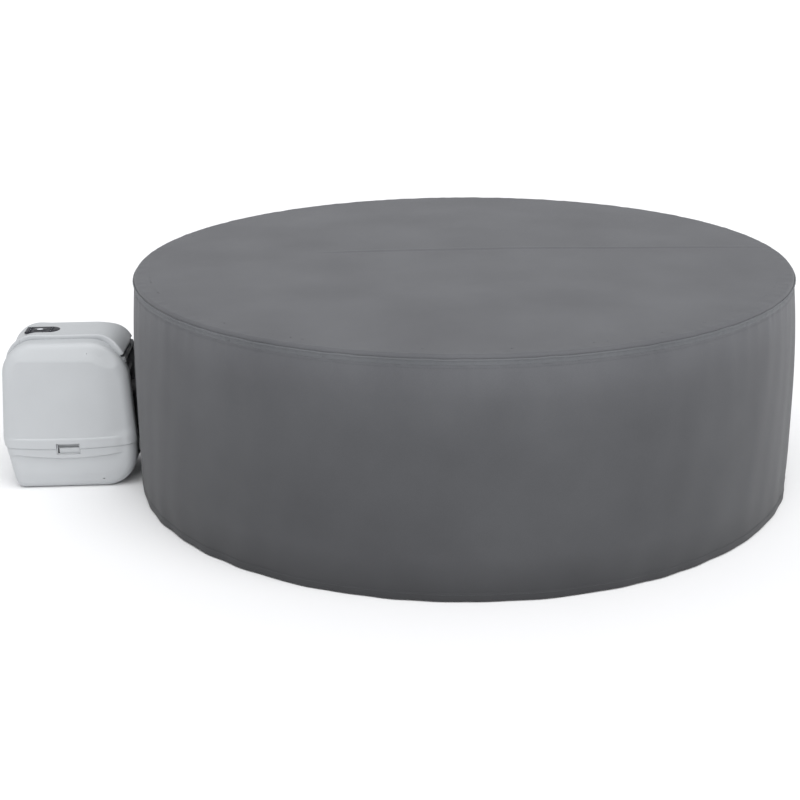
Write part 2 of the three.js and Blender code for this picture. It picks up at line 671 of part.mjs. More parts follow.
// The control panel is a tongue with a round end, let into the top strip.
const panel = {
  start: 72 - pump.front,
  end: 176 - pump.front,
  halfWidth: 31,
  thickness: 4.5,
  sunk: 4.4, // below the top of the strip's edges
};
function tongue(extra, z0, z1) {
  const half = panel.halfWidth + extra;
  const shape = new THREE.Shape();
  shape.moveTo(panel.start - extra, half);
  shape.lineTo(panel.start - extra, -half);
  shape.absarc(panel.end - panel.halfWidth, 0, half, -Math.PI / 2, Math.PI / 2, false);
  return new THREE.ExtrudeGeometry(shape, { depth: z1 - z0, bevelEnabled: false, curveSegments: 5 })
    .translate(0, 0, z0);
}
const stripEnd = pump.wellTop + wall + gap; // height of the strip's rear lip
const stripRegion = box(pump.stripFront + gap / 2, far, -far, far, stripEnd, far * 2);
const panelTop = pump.stripTop - panel.sunk;
const topStrip = cut(common(band, stripRegion), tongue(gap, pump.stripTop - 20, pump.stripTop + 20));
place('top_strip', topStrip, caseShell, pumpUnit);

const buttonRadius = 5.5;
const buttonSpots = [14, 78].flatMap((x) => [-18, 0, 18].map((y) => [panel.start + x, y]));
const lens = { x: panel.start + 44, halfLength: 18, halfWidth: 12 };
const lensBox = (extra, z0, z1) => box(lens.x - lens.halfLength - extra, lens.x + lens.halfLength + extra,
  -lens.halfWidth - extra, lens.halfWidth + extra, z0, z1);
const panelBottom = panelTop - panel.thickness;
const buttonHoles = buttonSpots.map(([x, y]) =>
  rodZ(buttonRadius + 0.5, panelBottom - 5, panelTop + 5, x, y, 12));
place('control_panel', cut(tongue(0, panelBottom, panelTop), ...buttonHoles,
  lensBox(gap, panelTop - 2, panelTop + 5)), glossBlack, pumpUnit);
place('display_lens', lensBox(0, panelTop - 2 + gap, panelTop + 0.2), glossBlack, pumpUnit);
const buttonNames = ['power', 'heater', 'timer', 'bubbles', 'filter', 'lock'];
buttonSpots.forEach(([x, y], i) => {
  const cap = rodZ(buttonRadius, panelBottom - 1, panelTop + 1.2, x, y, 12);
  place('button_' + buttonNames[i], cap, glossBlack, pumpUnit);
});

// The rear tray: the recess around the couplings, with the grip pocket under the strip's lip.
const port = (pipe, y) => rodX(pipe.collar + 2 * gap, pump.wellX - 20, pump.wellX + 20, y, pipe.height);
const trayForm = common(cut(grown(wall), grown(0)), join(
  common(caseForm(pump.shellTop, gap), box(-far, far, -far, far, -50, pump.wellTop + wall)),
  common(middleForm(gripHalfWidth + wall, wall + gap), box(-far, far, -far, far, pump.gripBottom, far * 2)),
));
place('rear_panel', cut(trayForm, port(waterLine, waterLine.spread), port(waterLine, -waterLine.spread),
  port(airLine, 0)), darkPlastic, pumpUnit);

for (const [side, name] of [[-1, 'near_latch'], [1, 'far_latch']]) {
  const face = pump.halfWidth - latch.tabInset;
  const x0 = latch.centreX - latch.width / 2 + 2;
  const x1 = latch.centreX + latch.width / 2 - 2;
  const foot = latch.bottom + latch.lift;
  const tab = sideBox(side, x0, x1, face - latch.tab, face, foot, foot + latch.tabHeight);
  place(name, tab, palePlastic, pumpUnit);
}

place('cable_gland', turnedX([
  [-12, gland.bore], [-12, gland.radius], [gap, gland.radius], [gap, gland.flange],
  [4, gland.flange], [9, gland.radius], [13, gland.bore + 2], [13, gland.bore],
]).rotateZ(Math.PI / 2).translate(gland.x, pump.halfWidth, gland.height), rubber, pumpUnit);

// ---------------------------------------------------------------- inside the pump case

const portEnd = jointX - gap - pump.centreX;
const joiner = hose.radius + 3; // outside of a stub that the hose butts on

// Water pump: the suction port runs into the volute, which throws the water up into the transfer hose.
volute.x1 = pump.rear - 96;
volute.x0 = volute.x1 - volute.depth;
volute.outletX = volute.x1 - volute.depth / 2;
const voluteBody = turnedX([
  [volute.x0, 6], [volute.x0, volute.radius], [volute.x1, volute.radius], [volute.x1, waterLine.collar],
  [portEnd, waterLine.collar], [portEnd, waterLine.bore], [volute.x1 - volute.wall, waterLine.bore],
  [volute.x1 - volute.wall, volute.radius - volute.wall],
  [volute.x0 + volute.wall, volute.radius - volute.wall], [volute.x0 + volute.wall, 6],
]).translate(0, waterLine.spread, waterLine.height);
const voluteRoof = waterLine.height + volute.radius;
place('pump_volute', cut(
  join(voluteBody, rodZ(joiner, voluteRoof - 5, volute.outletTop, volute.outletX, waterLine.spread, 16)),
  rodZ(hose.bore, voluteRoof - 20, far, volute.outletX, waterLine.spread, 16),
), darkPlastic, pumpUnit);

const impeller = {
  radius: volute.radius - volute.wall - 6,
  vanes: 6,
  back: volute.x0 + 12,
  front: volute.x1 - 14,
};
const vanes = Array.from({ length: impeller.vanes }, (_, i) =>
  box(impeller.back + 3, impeller.front, -1.5, 1.5, 8, impeller.radius - 1)
    .rotateX((Math.PI * 2 * i) / impeller.vanes));
place('impeller', join(
  rodX(impeller.radius, impeller.back, impeller.back + 4), rodX(12, impeller.back, impeller.front),
  rodX(5, volute.x0 - gap, impeller.back + 2), ...vanes,
).translate(0, waterLine.spread, waterLine.height), palePlastic, pumpUnit);

const motor = { radius: 34, fins: 10, fin: 4, x0: volute.x0 - 128 };
const motorFins = Array.from({ length: motor.fins }, (_, i) =>
  box(motor.x0 + 15, volute.x0 - 18, -1.5, 1.5, motor.radius - 3, motor.radius + motor.fin)
    .rotateX((Math.PI * 2 * i) / motor.fins));
place('pump_motor', join(rodX(motor.radius, motor.x0, volute.x0 - 2 * gap), ...motorFins)
  .translate(0, waterLine.spread, waterLine.height), steel, pumpUnit);

// Heater: a steel tube in line with the return port, fed at its far end.
const heater = {
  x0: 85 - pump.front,
  x1: volute.x1,
  radius: 25,
  wall: 2,
  inletX: 107 - pump.front,
  neck: 30,
};
heater.inletTop = waterLine.height + heater.radius + heater.neck;
const heaterBody = turnedX([
  [heater.x0, 0], [heater.x0, heater.radius], [heater.x1, heater.radius], [heater.x1, waterLine.collar],
  [portEnd, waterLine.collar], [portEnd, waterLine.bore], [heater.x1 - heater.wall, waterLine.bore],
  [heater.x1 - heater.wall, heater.radius - heater.wall],
  [heater.x0 + heater.wall, heater.radius - heater.wall], [heater.x0 + heater.wall, 0],
]).translate(0, -waterLine.spread, waterLine.height);
place('heater_tube', cut(
  join(heaterBody, rodZ(joiner, waterLine.height + heater.radius - 6, heater.inletTop, heater.inletX,
    -waterLine.spread, 16)),
  rodZ(hose.bore, waterLine.height + 5, far, heater.inletX, -waterLine.spread, 16),
), steel, pumpUnit);

place('transfer_hose', tubeAlong([
  [volute.outletX, waterLine.spread, volute.outletTop + gap],
  [volute.outletX, waterLine.spread, volute.outletTop + 12],
  [volute.outletX - 24, waterLine.spread * 0.75, hose.crest],
  [heater.inletX + 24, -waterLine.spread * 0.75, hose.crest],
  [heater.inletX, -waterLine.spread, heater.inletTop + 24],
  [heater.inletX, -waterLine.spread, heater.inletTop + gap],
], hose.radius, hose.bore, 16), rubber, pumpUnit);

// Air blower: a drum with its intake underneath and its motor on top, blowing out of the air port.
blower.x = pump.rear - 188;
const drum = turned([
  [blower.intake, blower.bottom], [blower.radius, blower.bottom], [blower.radius, blower.top],
  [blower.shaft + 1, blower.top], [blower.shaft + 1, blower.top - blower.wall],
  [blower.radius - blower.wall, blower.top - blower.wall],
  [blower.radius - blower.wall, blower.bottom + blower.wall], [blower.intake, blower.bottom + blower.wall],
], 28).translate(blower.x, 0, 0);
const drumSide = blower.x + blower.radius - blower.wall;
place('blower_housing', cut(
  join(drum, cut(rodX(airLine.collar, drumSide - 4, portEnd, 0, airLine.height),
    rodZ(blower.radius - blower.wall / 2, 0, far, blower.x, 0, 28))),
  rodX(airLine.bore, blower.x + 40, far, 0, airLine.height),
), darkPlastic, pumpUnit);

const fan = {
  radius: blower.radius - blower.wall - 5,
  vanes: 10,
  bottom: blower.bottom + 6,
  disc: blower.top - 11,
};
const fanVane = box(blower.intake + 3, fan.radius - 1, -1.2, 1.2, fan.bottom, fan.disc + 1);
const fanVanes = Array.from({ length: fan.vanes }, (_, i) => turnedTo(fanVane, (360 * i) / fan.vanes));
place('blower_fan', join(
  rodZ(fan.radius, fan.disc, fan.disc + 3), rodZ(9, fan.disc - 18, fan.disc + 1),
  rodZ(blower.shaft, fan.disc, blower.top), ...fanVanes,
).translate(blower.x, 0, 0), palePlastic, pumpUnit);
place('blower_motor', join(
  rodZ(blower.motor, blower.top + gap, blower.motorTop, blower.x, 0),
  rodZ(8, blower.motorTop - 1, blower.motorTop + 5, blower.x, 0),
), steel, pumpUnit);

// The circuit board hangs under the control panel.
const board = {
  x0: panel.start + 4,
  x1: panel.start + 144,
  halfWidth: 42,
  z: pump.stripTop - 46,
  thickness: 2,
};
const chips = [
  [18, 48, -25, 5, -14],
  [58, 83, 8, 34, -18],
  [98, 126, -34, -6, -22],
  [22, 36, 15, 34, 10],
  [78, 90, -20, -6, 8],
].map(([x0, x1, y0, y1, rise]) =>
  box(board.x0 + x0, board.x0 + x1, y0, y1, board.z + Math.min(rise, 1), board.z + Math.max(rise + 2, 1)));
place('circuit_board', join(
  box(board.x0, board.x1, -board.halfWidth, board.halfWidth, board.z, board.z + board.thickness), ...chips,
), boardGreen, pumpUnit);

export default object;
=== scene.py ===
"""An inflatable hot tub closed by its lid and outdoor cover, with the pump unit beside it.

Everything is in metres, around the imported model: the tub's underside is centred on the origin, +Z is up and
the pump unit stands on the -X side.
"""

import bmesh
import bpy
import numpy as np
from mathutils import Euler, Matrix, Vector


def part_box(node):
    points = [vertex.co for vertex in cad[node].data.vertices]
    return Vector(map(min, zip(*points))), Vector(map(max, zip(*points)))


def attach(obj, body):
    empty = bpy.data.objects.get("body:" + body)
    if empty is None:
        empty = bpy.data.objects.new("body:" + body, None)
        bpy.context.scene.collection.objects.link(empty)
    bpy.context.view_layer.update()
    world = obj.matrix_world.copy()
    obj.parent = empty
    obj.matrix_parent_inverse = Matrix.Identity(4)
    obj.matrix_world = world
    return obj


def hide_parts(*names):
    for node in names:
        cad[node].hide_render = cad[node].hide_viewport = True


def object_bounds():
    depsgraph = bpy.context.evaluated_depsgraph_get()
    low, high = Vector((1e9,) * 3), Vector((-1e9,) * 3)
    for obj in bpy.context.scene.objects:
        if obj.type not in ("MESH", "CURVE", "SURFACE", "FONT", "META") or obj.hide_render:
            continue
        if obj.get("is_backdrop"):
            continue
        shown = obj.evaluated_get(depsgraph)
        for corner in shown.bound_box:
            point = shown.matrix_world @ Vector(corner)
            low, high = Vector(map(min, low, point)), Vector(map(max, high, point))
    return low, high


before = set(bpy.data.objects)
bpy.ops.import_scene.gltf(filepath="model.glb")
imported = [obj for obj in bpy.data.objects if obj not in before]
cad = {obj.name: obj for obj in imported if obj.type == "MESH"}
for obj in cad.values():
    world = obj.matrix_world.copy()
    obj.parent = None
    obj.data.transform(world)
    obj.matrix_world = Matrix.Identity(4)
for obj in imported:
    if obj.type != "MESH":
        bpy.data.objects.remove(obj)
cad_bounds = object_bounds()

# ---------------------------------------------------------------- camera
# The view is taken from in front of the tub, a little to the pump's side, at about the eye height of a
# standing adult, and looks down on the cover.

view = bpy.data.cameras.new("view")
view.lens = 67.6
view.sensor_width = 36
view.clip_end = 200
camera = bpy.data.objects.new("view", view)
aim = Euler((np.radians(71.18), 0, np.radians(-2.34))).to_matrix()
turn = aim @ Matrix.Rotation(np.radians(-0.7), 3, "Z")
camera.matrix_world = Matrix.Translation((-0.3748, -4.4633, 1.7346)) @ turn.to_4x4()
bpy.context.scene.collection.objects.link(camera)
bpy.context.scene.camera = camera
bpy.context.scene.view_settings.view_transform = "Standard"

# ---------------------------------------------------------------- floor and light
# A plain pale floor under even studio light: one wide soft source high in front on the right, and a pale
# surround that fills the shadows.

FLOOR_REACH = 60
bpy.ops.mesh.primitive_plane_add(size=2 * FLOOR_REACH, location=(0, 0, -0.0005))
floor = bpy.context.object
floor.name = "floor"
pale = bpy.data.materials.new("pale_floor")
pale.use_nodes = True
pale.node_tree.nodes["Principled BSDF"].inputs["Base Color"].default_value = (0.95, 0.95, 0.955, 1)
pale.node_tree.nodes["Principled BSDF"].inputs["Roughness"].default_value = 0.9
floor.data.materials.append(pale)
floor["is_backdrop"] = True

surround = bpy.data.worlds.new("surround")
surround.use_nodes = True
surround.node_tree.nodes["Background"].inputs["Color"].default_value = (0.97, 0.98, 1, 1)
surround.node_tree.nodes["Background"].inputs["Strength"].default_value = 0.62
bpy.context.scene.world = surround


def soft_sun(name, strength, spread, tilt, heading):
    """A distant source: spread is its apparent size, tilt its angle from overhead, heading where it comes
    from, as an angle about +Z from -Y."""
    lamp = bpy.data.lights.new(name, "SUN")
    lamp.energy = strength
    lamp.angle = np.radians(spread)
    source = bpy.data.objects.new(name, lamp)
    source.rotation_euler = (np.radians(tilt), 0, np.radians(heading))
    bpy.context.scene.collection.objects.link(source)


soft_sun("key", 1.9, 60, 30, 18)
soft_sun("fill", 0.40, 90, 70, 20)

# ---------------------------------------------------------------- cover, top panel
# The panel is one round of coated polyester cloth, cut from two widths that are joined across the middle.
# It is pulled tight over the lid, so it only shows long shallow waves and small puckers at its edge.

CLOTH = 0.0025
SEAM_DROP = 0.020
COLUMNS = 720
TAU = 2 * np.pi

top_low, top_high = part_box("cover_top")
skirt_low, skirt_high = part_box("cover_skirt")
rim_radius = top_high.x
skirt_radius = skirt_high.x
crown_z = top_high.z
seam_z = top_low.z
corner_z = seam_z + SEAM_DROP


def surface(name, points, round_u=False, uv=None, flip=False):
    """A mesh over a grid of points: every cell between two rows and two columns is one quad. With round_u the
    last column meets the first. uv is a grid of the same rows, with one column more when round_u is set."""
    rows, columns = points.shape[:2]
    index = np.arange(rows * columns).reshape(rows, columns)
    flat_uv = None
    if round_u:
        index = np.hstack([index, index[:, :1]])
    cells = np.stack([index[:-1, :-1], index[1:, :-1], index[1:, 1:], index[:-1, 1:]], axis=-1).reshape(-1, 4)
    if uv is not None:
        flat_uv = np.stack([uv[:-1, :-1], uv[1:, :-1], uv[1:, 1:], uv[:-1, 1:]], axis=2).reshape(-1, 4, 2)
    if flip:
        cells = cells[:, ::-1]
        flat_uv = None if uv is None else flat_uv[:, ::-1]
    mesh = bpy.data.meshes.new(name)
    mesh.vertices.add(rows * columns)
    mesh.vertices.foreach_set("co", points.astype(np.float32).ravel())
    mesh.loops.add(cells.size)
    mesh.loops.foreach_set("vertex_index", cells.astype(np.int32).ravel())
    mesh.polygons.add(len(cells))
    mesh.polygons.foreach_set("loop_start", np.arange(0, cells.size, 4, dtype=np.int32))
    if uv is not None:
        mesh.uv_layers.new(name="cloth").data.foreach_set("uv", flat_uv.astype(np.float32).ravel())
    mesh.update(calc_edges=True)
    mesh.validate()
    piece = bpy.data.objects.new(name, mesh)
    bpy.context.scene.collection.objects.link(piece)
    return piece


def joined(name, *pieces, weld=1e-5):
    """One object from several, with the points that coincide merged, so that collapsed cells vanish too."""
    whole = bmesh.new()
    for piece in pieces:
        whole.from_mesh(piece.data)
        bpy.data.objects.remove(piece)
    bmesh.ops.remove_doubles(whole, verts=whole.verts, dist=weld)
    bmesh.ops.dissolve_degenerate(whole, edges=whole.edges, dist=1e-7)
    mesh = bpy.data.meshes.new(name)
    whole.to_mesh(mesh)
    whole.free()
    piece = bpy.data.objects.new(name, mesh)
    bpy.context.scene.collection.objects.link(piece)
    return piece


def thicken(piece, thickness, offset=-1):
    """A wall of the given thickness behind the surface, with closed rims."""
    wall = piece.modifiers.new("wall", "SOLIDIFY")
    wall.thickness = thickness
    wall.offset = offset
    return piece


def smooth(piece, angle=35):
    """Smooth shading that stays sharp at edges over the angle."""
    piece.data.polygons.foreach_set("use_smooth", np.ones(len(piece.data.polygons), bool))
    piece.data.set_sharp_from_angle(angle=np.radians(angle))
    return piece


def finish(piece, material, body, slot, *nodes):
    """The material, body and replaced nodes of a finished piece. slot is not used."""
    piece.data.materials.clear()
    piece.data.materials.append(material)
    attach(piece, body)
    if nodes:
        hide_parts(*nodes)
    return piece


def area_of(piece):
    """The area of a piece's faces."""
    sizes = np.zeros(len(piece.data.polygons))
    piece.data.polygons.foreach_get("area", sizes)
    return float(sizes.sum())


def waves(angle, seed, counts, share=0.6):
    """A sum of sine waves around the ring, one for each count, with seeded phases and falling sizes."""
    chance = np.random.default_rng(seed)
    phase = chance.uniform(0, TAU, len(counts))
    size = chance.uniform(1 - share, 1, len(counts)) / np.arange(1, len(counts) + 1) ** 0.3
    return sum(a * np.sin(n * angle + p) for a, n, p in zip(size, counts, phase)) / np.abs(size).sum()


def new_material(name, color, roughness, metallic=0.0):
    """A material with its shader, and its node tree's nodes and links."""
    material = bpy.data.materials.new(name)
    material.use_nodes = True
    nodes, links = material.node_tree.nodes, material.node_tree.links
    shader = nodes["Principled BSDF"]
    shader.inputs["Base Color"].default_value = (*color, 1)
    shader.inputs["Roughness"].default_value = roughness
    shader.inputs["Metallic"].default_value = metallic
    return material, nodes, links, shader


def cloth_material(name, dark, light, pitch=0.0011, height=0.00022, painted_shade_by_height=None):
    """Plain weave: two sets of waves across each other lift the yarns, fine noise frays them, and two sizes
    of cloud vary the dye. The optional list of (height, factor) pairs scales the colour by height above the
    ground, as painted light and shade."""
    material, nodes, links, shader = new_material(name, light, 0.72)
    uv = nodes.new("ShaderNodeUVMap")
    uv.uv_map = "cloth"
    weave = nodes.new("ShaderNodeVectorMath")
    weave.operation = "MULTIPLY"
    weave.inputs[1].default_value = (1 / pitch, 1 / pitch, 1)
    links.new(uv.outputs["UV"], weave.inputs[0])
    yarns = nodes.new("ShaderNodeTexChecker")
    yarns.inputs["Scale"].default_value = 1
    links.new(weave.outputs[0], yarns.inputs["Vector"])
    coordinates = nodes.new("ShaderNodeTexCoord")
    fray = nodes.new("ShaderNodeTexNoise")
    fray.inputs["Scale"].default_value = 420
    fray.inputs["Detail"].default_value = 3
    links.new(coordinates.outputs["Object"], fray.inputs["Vector"])
    relief = nodes.new("ShaderNodeMath")
    relief.operation = "ADD"
    links.new(yarns.outputs["Fac"], relief.inputs[0])
    links.new(fray.outputs["Fac"], relief.inputs[1])
    bump = nodes.new("ShaderNodeBump")
    bump.inputs["Strength"].default_value = 0.35
    bump.inputs["Distance"].default_value = height
    links.new(relief.outputs[0], bump.inputs["Height"])
    links.new(bump.outputs[0], shader.inputs["Normal"])
    cloud = nodes.new("ShaderNodeTexNoise")
    cloud.inputs["Scale"].default_value = 3.2
    cloud.inputs["Detail"].default_value = 5
    cloud.inputs["Roughness"].default_value = 0.55
    links.new(coordinates.outputs["Object"], cloud.inputs["Vector"])
    dye = nodes.new("ShaderNodeValToRGB")
    dye.color_ramp.elements[0].position = 0.30
    dye.color_ramp.elements[1].position = 0.72
    dye.color_ramp.elements[0].color = (*dark, 1)
    dye.color_ramp.elements[1].color = (*light, 1)
    links.new(cloud.outputs["Fac"], dye.inputs["Fac"])
    color = dye.outputs["Color"]
    grain = nodes.new("ShaderNodeMix")
    grain.data_type = "RGBA"
    grain.blend_type = "MULTIPLY"
    grain.inputs["Factor"].default_value = 0.22
    links.new(color, grain.inputs["A"])
    links.new(fray.outputs["Fac"], grain.inputs["B"])
    color = grain.outputs["Result"]
    # Painted light and shade: a ramp over the height above the ground scales the colour.
    if painted_shade_by_height:
        parts = nodes.new("ShaderNodeSeparateXYZ")
        links.new(coordinates.outputs["Object"], parts.inputs[0])
        painted_shade_ramp = nodes.new("ShaderNodeValToRGB")
        for i, (z, strength) in enumerate(painted_shade_by_height):
            stop = painted_shade_ramp.color_ramp.elements[i] if i < 2 else painted_shade_ramp.color_ramp.elements.new(z)
            stop.position = z
            stop.color = (strength, strength, strength, 1)
        links.new(parts.outputs["Z"], painted_shade_ramp.inputs["Fac"])
        painted_shade_mix = nodes.new("ShaderNodeMix")
        painted_shade_mix.data_type = "RGBA"
        painted_shade_mix.blend_type = "MULTIPLY"
        painted_shade_mix.inputs["Factor"].default_value = 1
        links.new(color, painted_shade_mix.inputs["A"])
        links.new(painted_shade_ramp.outputs["Color"], painted_shade_mix.inputs["B"])
        color = painted_shade_mix.outputs["Result"]
    links.new(color, shader.inputs["Base Color"])
    shader.inputs["Sheen Weight"].default_value = 0.12
    shader.inputs["Sheen Roughness"].default_value = 0.5
    shader.inputs["Specular IOR Level"].default_value = 0.3
    return material


PANEL_ROWS = 150
CORNER = 0.009
JOIN_Y = 0.10
JOIN_LENGTH = 0.74

share = np.concatenate([np.linspace(0, 0.96, PANEL_ROWS - 40) ** 0.9, np.linspace(0.962, 1, 40)[1:]])
angle = np.linspace(0, TAU, COLUMNS, endpoint=False)
flat_radius = rim_radius - CORNER
radius = np.concatenate([share * flat_radius, flat_radius + CORNER * np.sin(np.linspace(0.15, np.pi / 2, 8)),
                         np.full(6, rim_radius)])
crown = crown_z - (crown_z - corner_z - 0.002) * share ** 2
drop = CORNER * (1 - np.cos(np.linspace(0.15, np.pi / 2, 8)))
height = np.concatenate([crown, crown[-1] - drop, np.linspace(crown[-1] - CORNER, seam_z, 7)[1:]])
R, A = np.meshgrid(radius, angle, indexing="ij")
Z = np.repeat(height[:, None], COLUMNS, axis=1)
X, Y = R * np.cos(A), R * np.sin(A)
inner = np.clip(R / rim_radius, 0, 1)
Z += 0.0016 * waves(X * 3.1 + Y * 1.3, 3, [1, 2, 3, 5]) * (1 - inner ** 4)
Z += 0.0014 * waves(X * 1.2 - Y * 5.2, 5, [1, 2, 4]) * (1 - inner ** 4)
edge = np.exp(-((inner - 0.985) / 0.018) ** 2)
Z += 0.0011 * edge * waves(A, 8, [47, 71, 96, 123, 151])
join_line = Y - JOIN_Y + 0.016 * X
along = np.clip(1 - (np.abs(X - 0.28) / JOIN_LENGTH) ** 6, 0, 1)
Z += 0.0016 * along * (np.exp(-(join_line / 0.008) ** 2) - 0.8 * np.exp(-((join_line + 0.014) / 0.007) ** 2))
panel_uv = np.stack([np.hstack([X, X[:, :1]]), np.hstack([Y, Y[:, :1]])], axis=-1)
top_panel = surface("panel", np.stack([X, Y, Z], axis=-1), round_u=True, uv=panel_uv)
top_panel = joined("cover_top_panel", top_panel)
thicken(smooth(top_panel), CLOTH)

COVER_DARK = (0.111, 0.113, 0.122)
COVER_LIGHT = (0.140, 0.143, 0.153)
cover_cloth = cloth_material("cover_cloth", COVER_DARK, COVER_LIGHT)
finish(top_panel, cover_cloth, "cover", "cover_cloth", "cover_top")

# ---------------------------------------------------------------- cover, skirt
# The skirt is one long strip of the same cloth, sewn to the panel at the rim. It hangs over the full round of
# the tub's wall, shows soft vertical swells, and has small gathers where it is eased into the seam.

SKIRT_ROWS = 190
HEM = 0.022
ARCH_HALF = 0.120
ARCH_HEIGHT = 0.400

skirt_bottom = skirt_low.z


def skirt_radius_at(z):
    """Radius of the hanging cloth: from the seam it fills out over the wall's round, then draws in."""
    fall = (seam_z - z) / (seam_z - skirt_bottom)
    fill = np.clip(1 - (1 - np.clip(fall / 0.55, 0, 1)) ** 2.2, 0, 1)
    tuck = np.clip((fall - 0.75) / 0.25, 0, 1) ** 2
    return rim_radius + (skirt_radius - rim_radius) * (fill - 0.18 * tuck)


def skirt_swell(a, z):
    """How far the cloth stands out of its mean round, as soft swells, eased gathers and a slack hem."""
    fall = (seam_z - z) / (seam_z - skirt_bottom)
    hump = np.sin(np.pi * np.clip(fall, 0, 1)) ** 0.7
    soft = 0.0045 * waves(a + 0.05 * fall, 11, [5, 9, 13, 17, 22]) * hump
    tall = 0.0016 * waves(a + 0.12 * fall, 12, [29, 37, 46, 58]) * np.clip(fall * 4, 0, 1)
    bunch = 0.5 + 0.5 * waves(a, 14, [2, 3, 5, 7])
    gather = 0.0022 * bunch * waves(a + 0.01 * fall, 13, [118, 149, 187, 233]) * np.exp(-fall / 0.055)
    ease = 0.0012 * waves(a, 15, [61, 83, 104]) * np.exp(-fall / 0.20)
    slack = 0.0030 * waves(a, 16, [19, 31, 44, 52]) * np.clip((fall - 0.86) / 0.14, 0, 1) ** 1.5
    hem = 0.0012 * np.clip((skirt_bottom + HEM - z) / 0.002, 0, 1)
    return soft + tall + gather + ease + slack + hem


fall = np.concatenate([np.linspace(0, 0.12, 46)[:-1], np.linspace(0.12, 0.94, SKIRT_ROWS - 75)[:-1],
                       np.linspace(0.94, 1, 31)])
z_rows = seam_z - fall * (seam_z - skirt_bottom)
Z, A = np.meshgrid(z_rows, angle, indexing="ij")
R = skirt_radius_at(Z) + skirt_swell(A, Z)
X, Y = R * np.cos(A), R * np.sin(A)
skirt_uv = np.stack(np.meshgrid(np.linspace(0, TAU * skirt_radius, COLUMNS + 1), z_rows), axis=-1)
skirt = surface("cover_skirt_cloth", np.stack([X, Y, Z], axis=-1), round_u=True, uv=skirt_uv)


def arch_edge(y):
    """Height of the arch's edge above a point on its base, and 0 beside it."""
    inside = np.clip(ARCH_HALF ** 2 - y ** 2, 0, None)
    return np.where(np.abs(y) < ARCH_HALF, ARCH_HEIGHT - ARCH_HALF + np.sqrt(inside), 0)


def cut_arch(piece):
    """Takes out the faces inside the arch, and moves the cut's ragged edge onto the arch's outline."""
    shape = bmesh.new()
    shape.from_mesh(piece.data)
    inside = [f for f in shape.faces if f.calc_center_median().x < 0
              and f.calc_center_median().z < arch_edge(np.array(f.calc_center_median().y))]
    rim = {v for f in inside for v in f.verts}
    bmesh.ops.delete(shape, geom=inside, context="FACES")
    for v in (v for v in rim if v.is_valid):
        centre = ARCH_HEIGHT - ARCH_HALF
        if v.co.z > centre:
            away = Vector((v.co.y, v.co.z - centre)).normalized() * ARCH_HALF
            v.co.y, v.co.z = away.x, centre + away.y
        elif v.co.z > skirt_bottom + 1e-4 or abs(v.co.y) > 0.9 * ARCH_HALF:
            v.co.y = ARCH_HALF if v.co.y > 0 else -ARCH_HALF
    shape.to_mesh(piece.data)
    shape.free()


cut_arch(skirt)
skirt_area = area_of(skirt)
thicken(smooth(skirt, 60), CLOTH)
# Painted shade and light on the skirt: the colour falls to about a third at the ground, and rises above the
# cloth's own tone in a band just under the seam.
SKIRT_PAINTED_SHADE = ((0.0, 0.32), (0.04, 0.43), (0.12, 0.58), (0.45, 0.73), (0.54, 0.82), (0.60, 0.97),
               (0.63, 1.06))
skirt_cloth = cloth_material("skirt_cloth", COVER_DARK, COVER_LIGHT, painted_shade_by_height=SKIRT_PAINTED_SHADE)
finish(skirt, skirt_cloth, "cover", "cover_cloth", "cover_skirt")

# ---------------------------------------------------------------- cover, seam strip and stitches
# A strip of the same cloth lies over the raw edges, with its lower edge turned in, and a row of thread runs
# below it. The strip puckers, and its two ends overlap at one place in front. Thread holds the hem as well.

BAND_TOP = 0.012
BAND_LOW = 0.008
STRIP = 0.0018
OVERLAP_AT = np.arctan2(-0.751, -0.555)

rows = np.linspace(0, 1, 15)
fold = np.linspace(0, TAU, 1441)[:-1]
S, A = np.meshgrid(rows, fold, indexing="ij")
pucker = 0.5 + 0.5 * waves(A, 21, [2, 4, 7])
ripple = waves(A + 0.004 * S, 22, [171, 233, 287, 341, 409])
bulge = np.sin(np.pi * S) ** 0.6 * (0.0016 + 0.0022 * pucker * ripple)
bulge += 0.0030 * np.exp(-((S - 0.12) / 0.10) ** 2) - 0.0034 * np.clip((S - 0.62) / 0.38, 0, 1) ** 2
Z = seam_z + BAND_TOP - S * (BAND_TOP + BAND_LOW) + 0.0009 * waves(A, 23, [37, 59, 83]) * (1 - S)
past_end = np.angle(np.exp(1j * (A - OVERLAP_AT)))
step = 0.0012 * np.clip(past_end * 400, 0, 1) * np.clip((0.05 - past_end) * 40, 0, 1)
R = np.maximum(skirt_radius_at(np.minimum(Z, seam_z)), rim_radius) + 0.0006 + bulge + step
band_uv = np.stack(np.meshgrid(np.linspace(0, TAU * rim_radius, 1441), rows * 0.02), axis=-1)
seam_strip = surface("cover_seam_strip", np.stack([R * np.cos(A), R * np.sin(A), Z], axis=-1), round_u=True,
                     uv=band_uv)
thicken(smooth(seam_strip, 60), STRIP)
seam_cloth = cloth_material("seam_cloth", (0.122, 0.127, 0.136), (0.163, 0.169, 0.180))
finish(seam_strip, seam_cloth, "cover", "cover_cloth", "cover_seam")


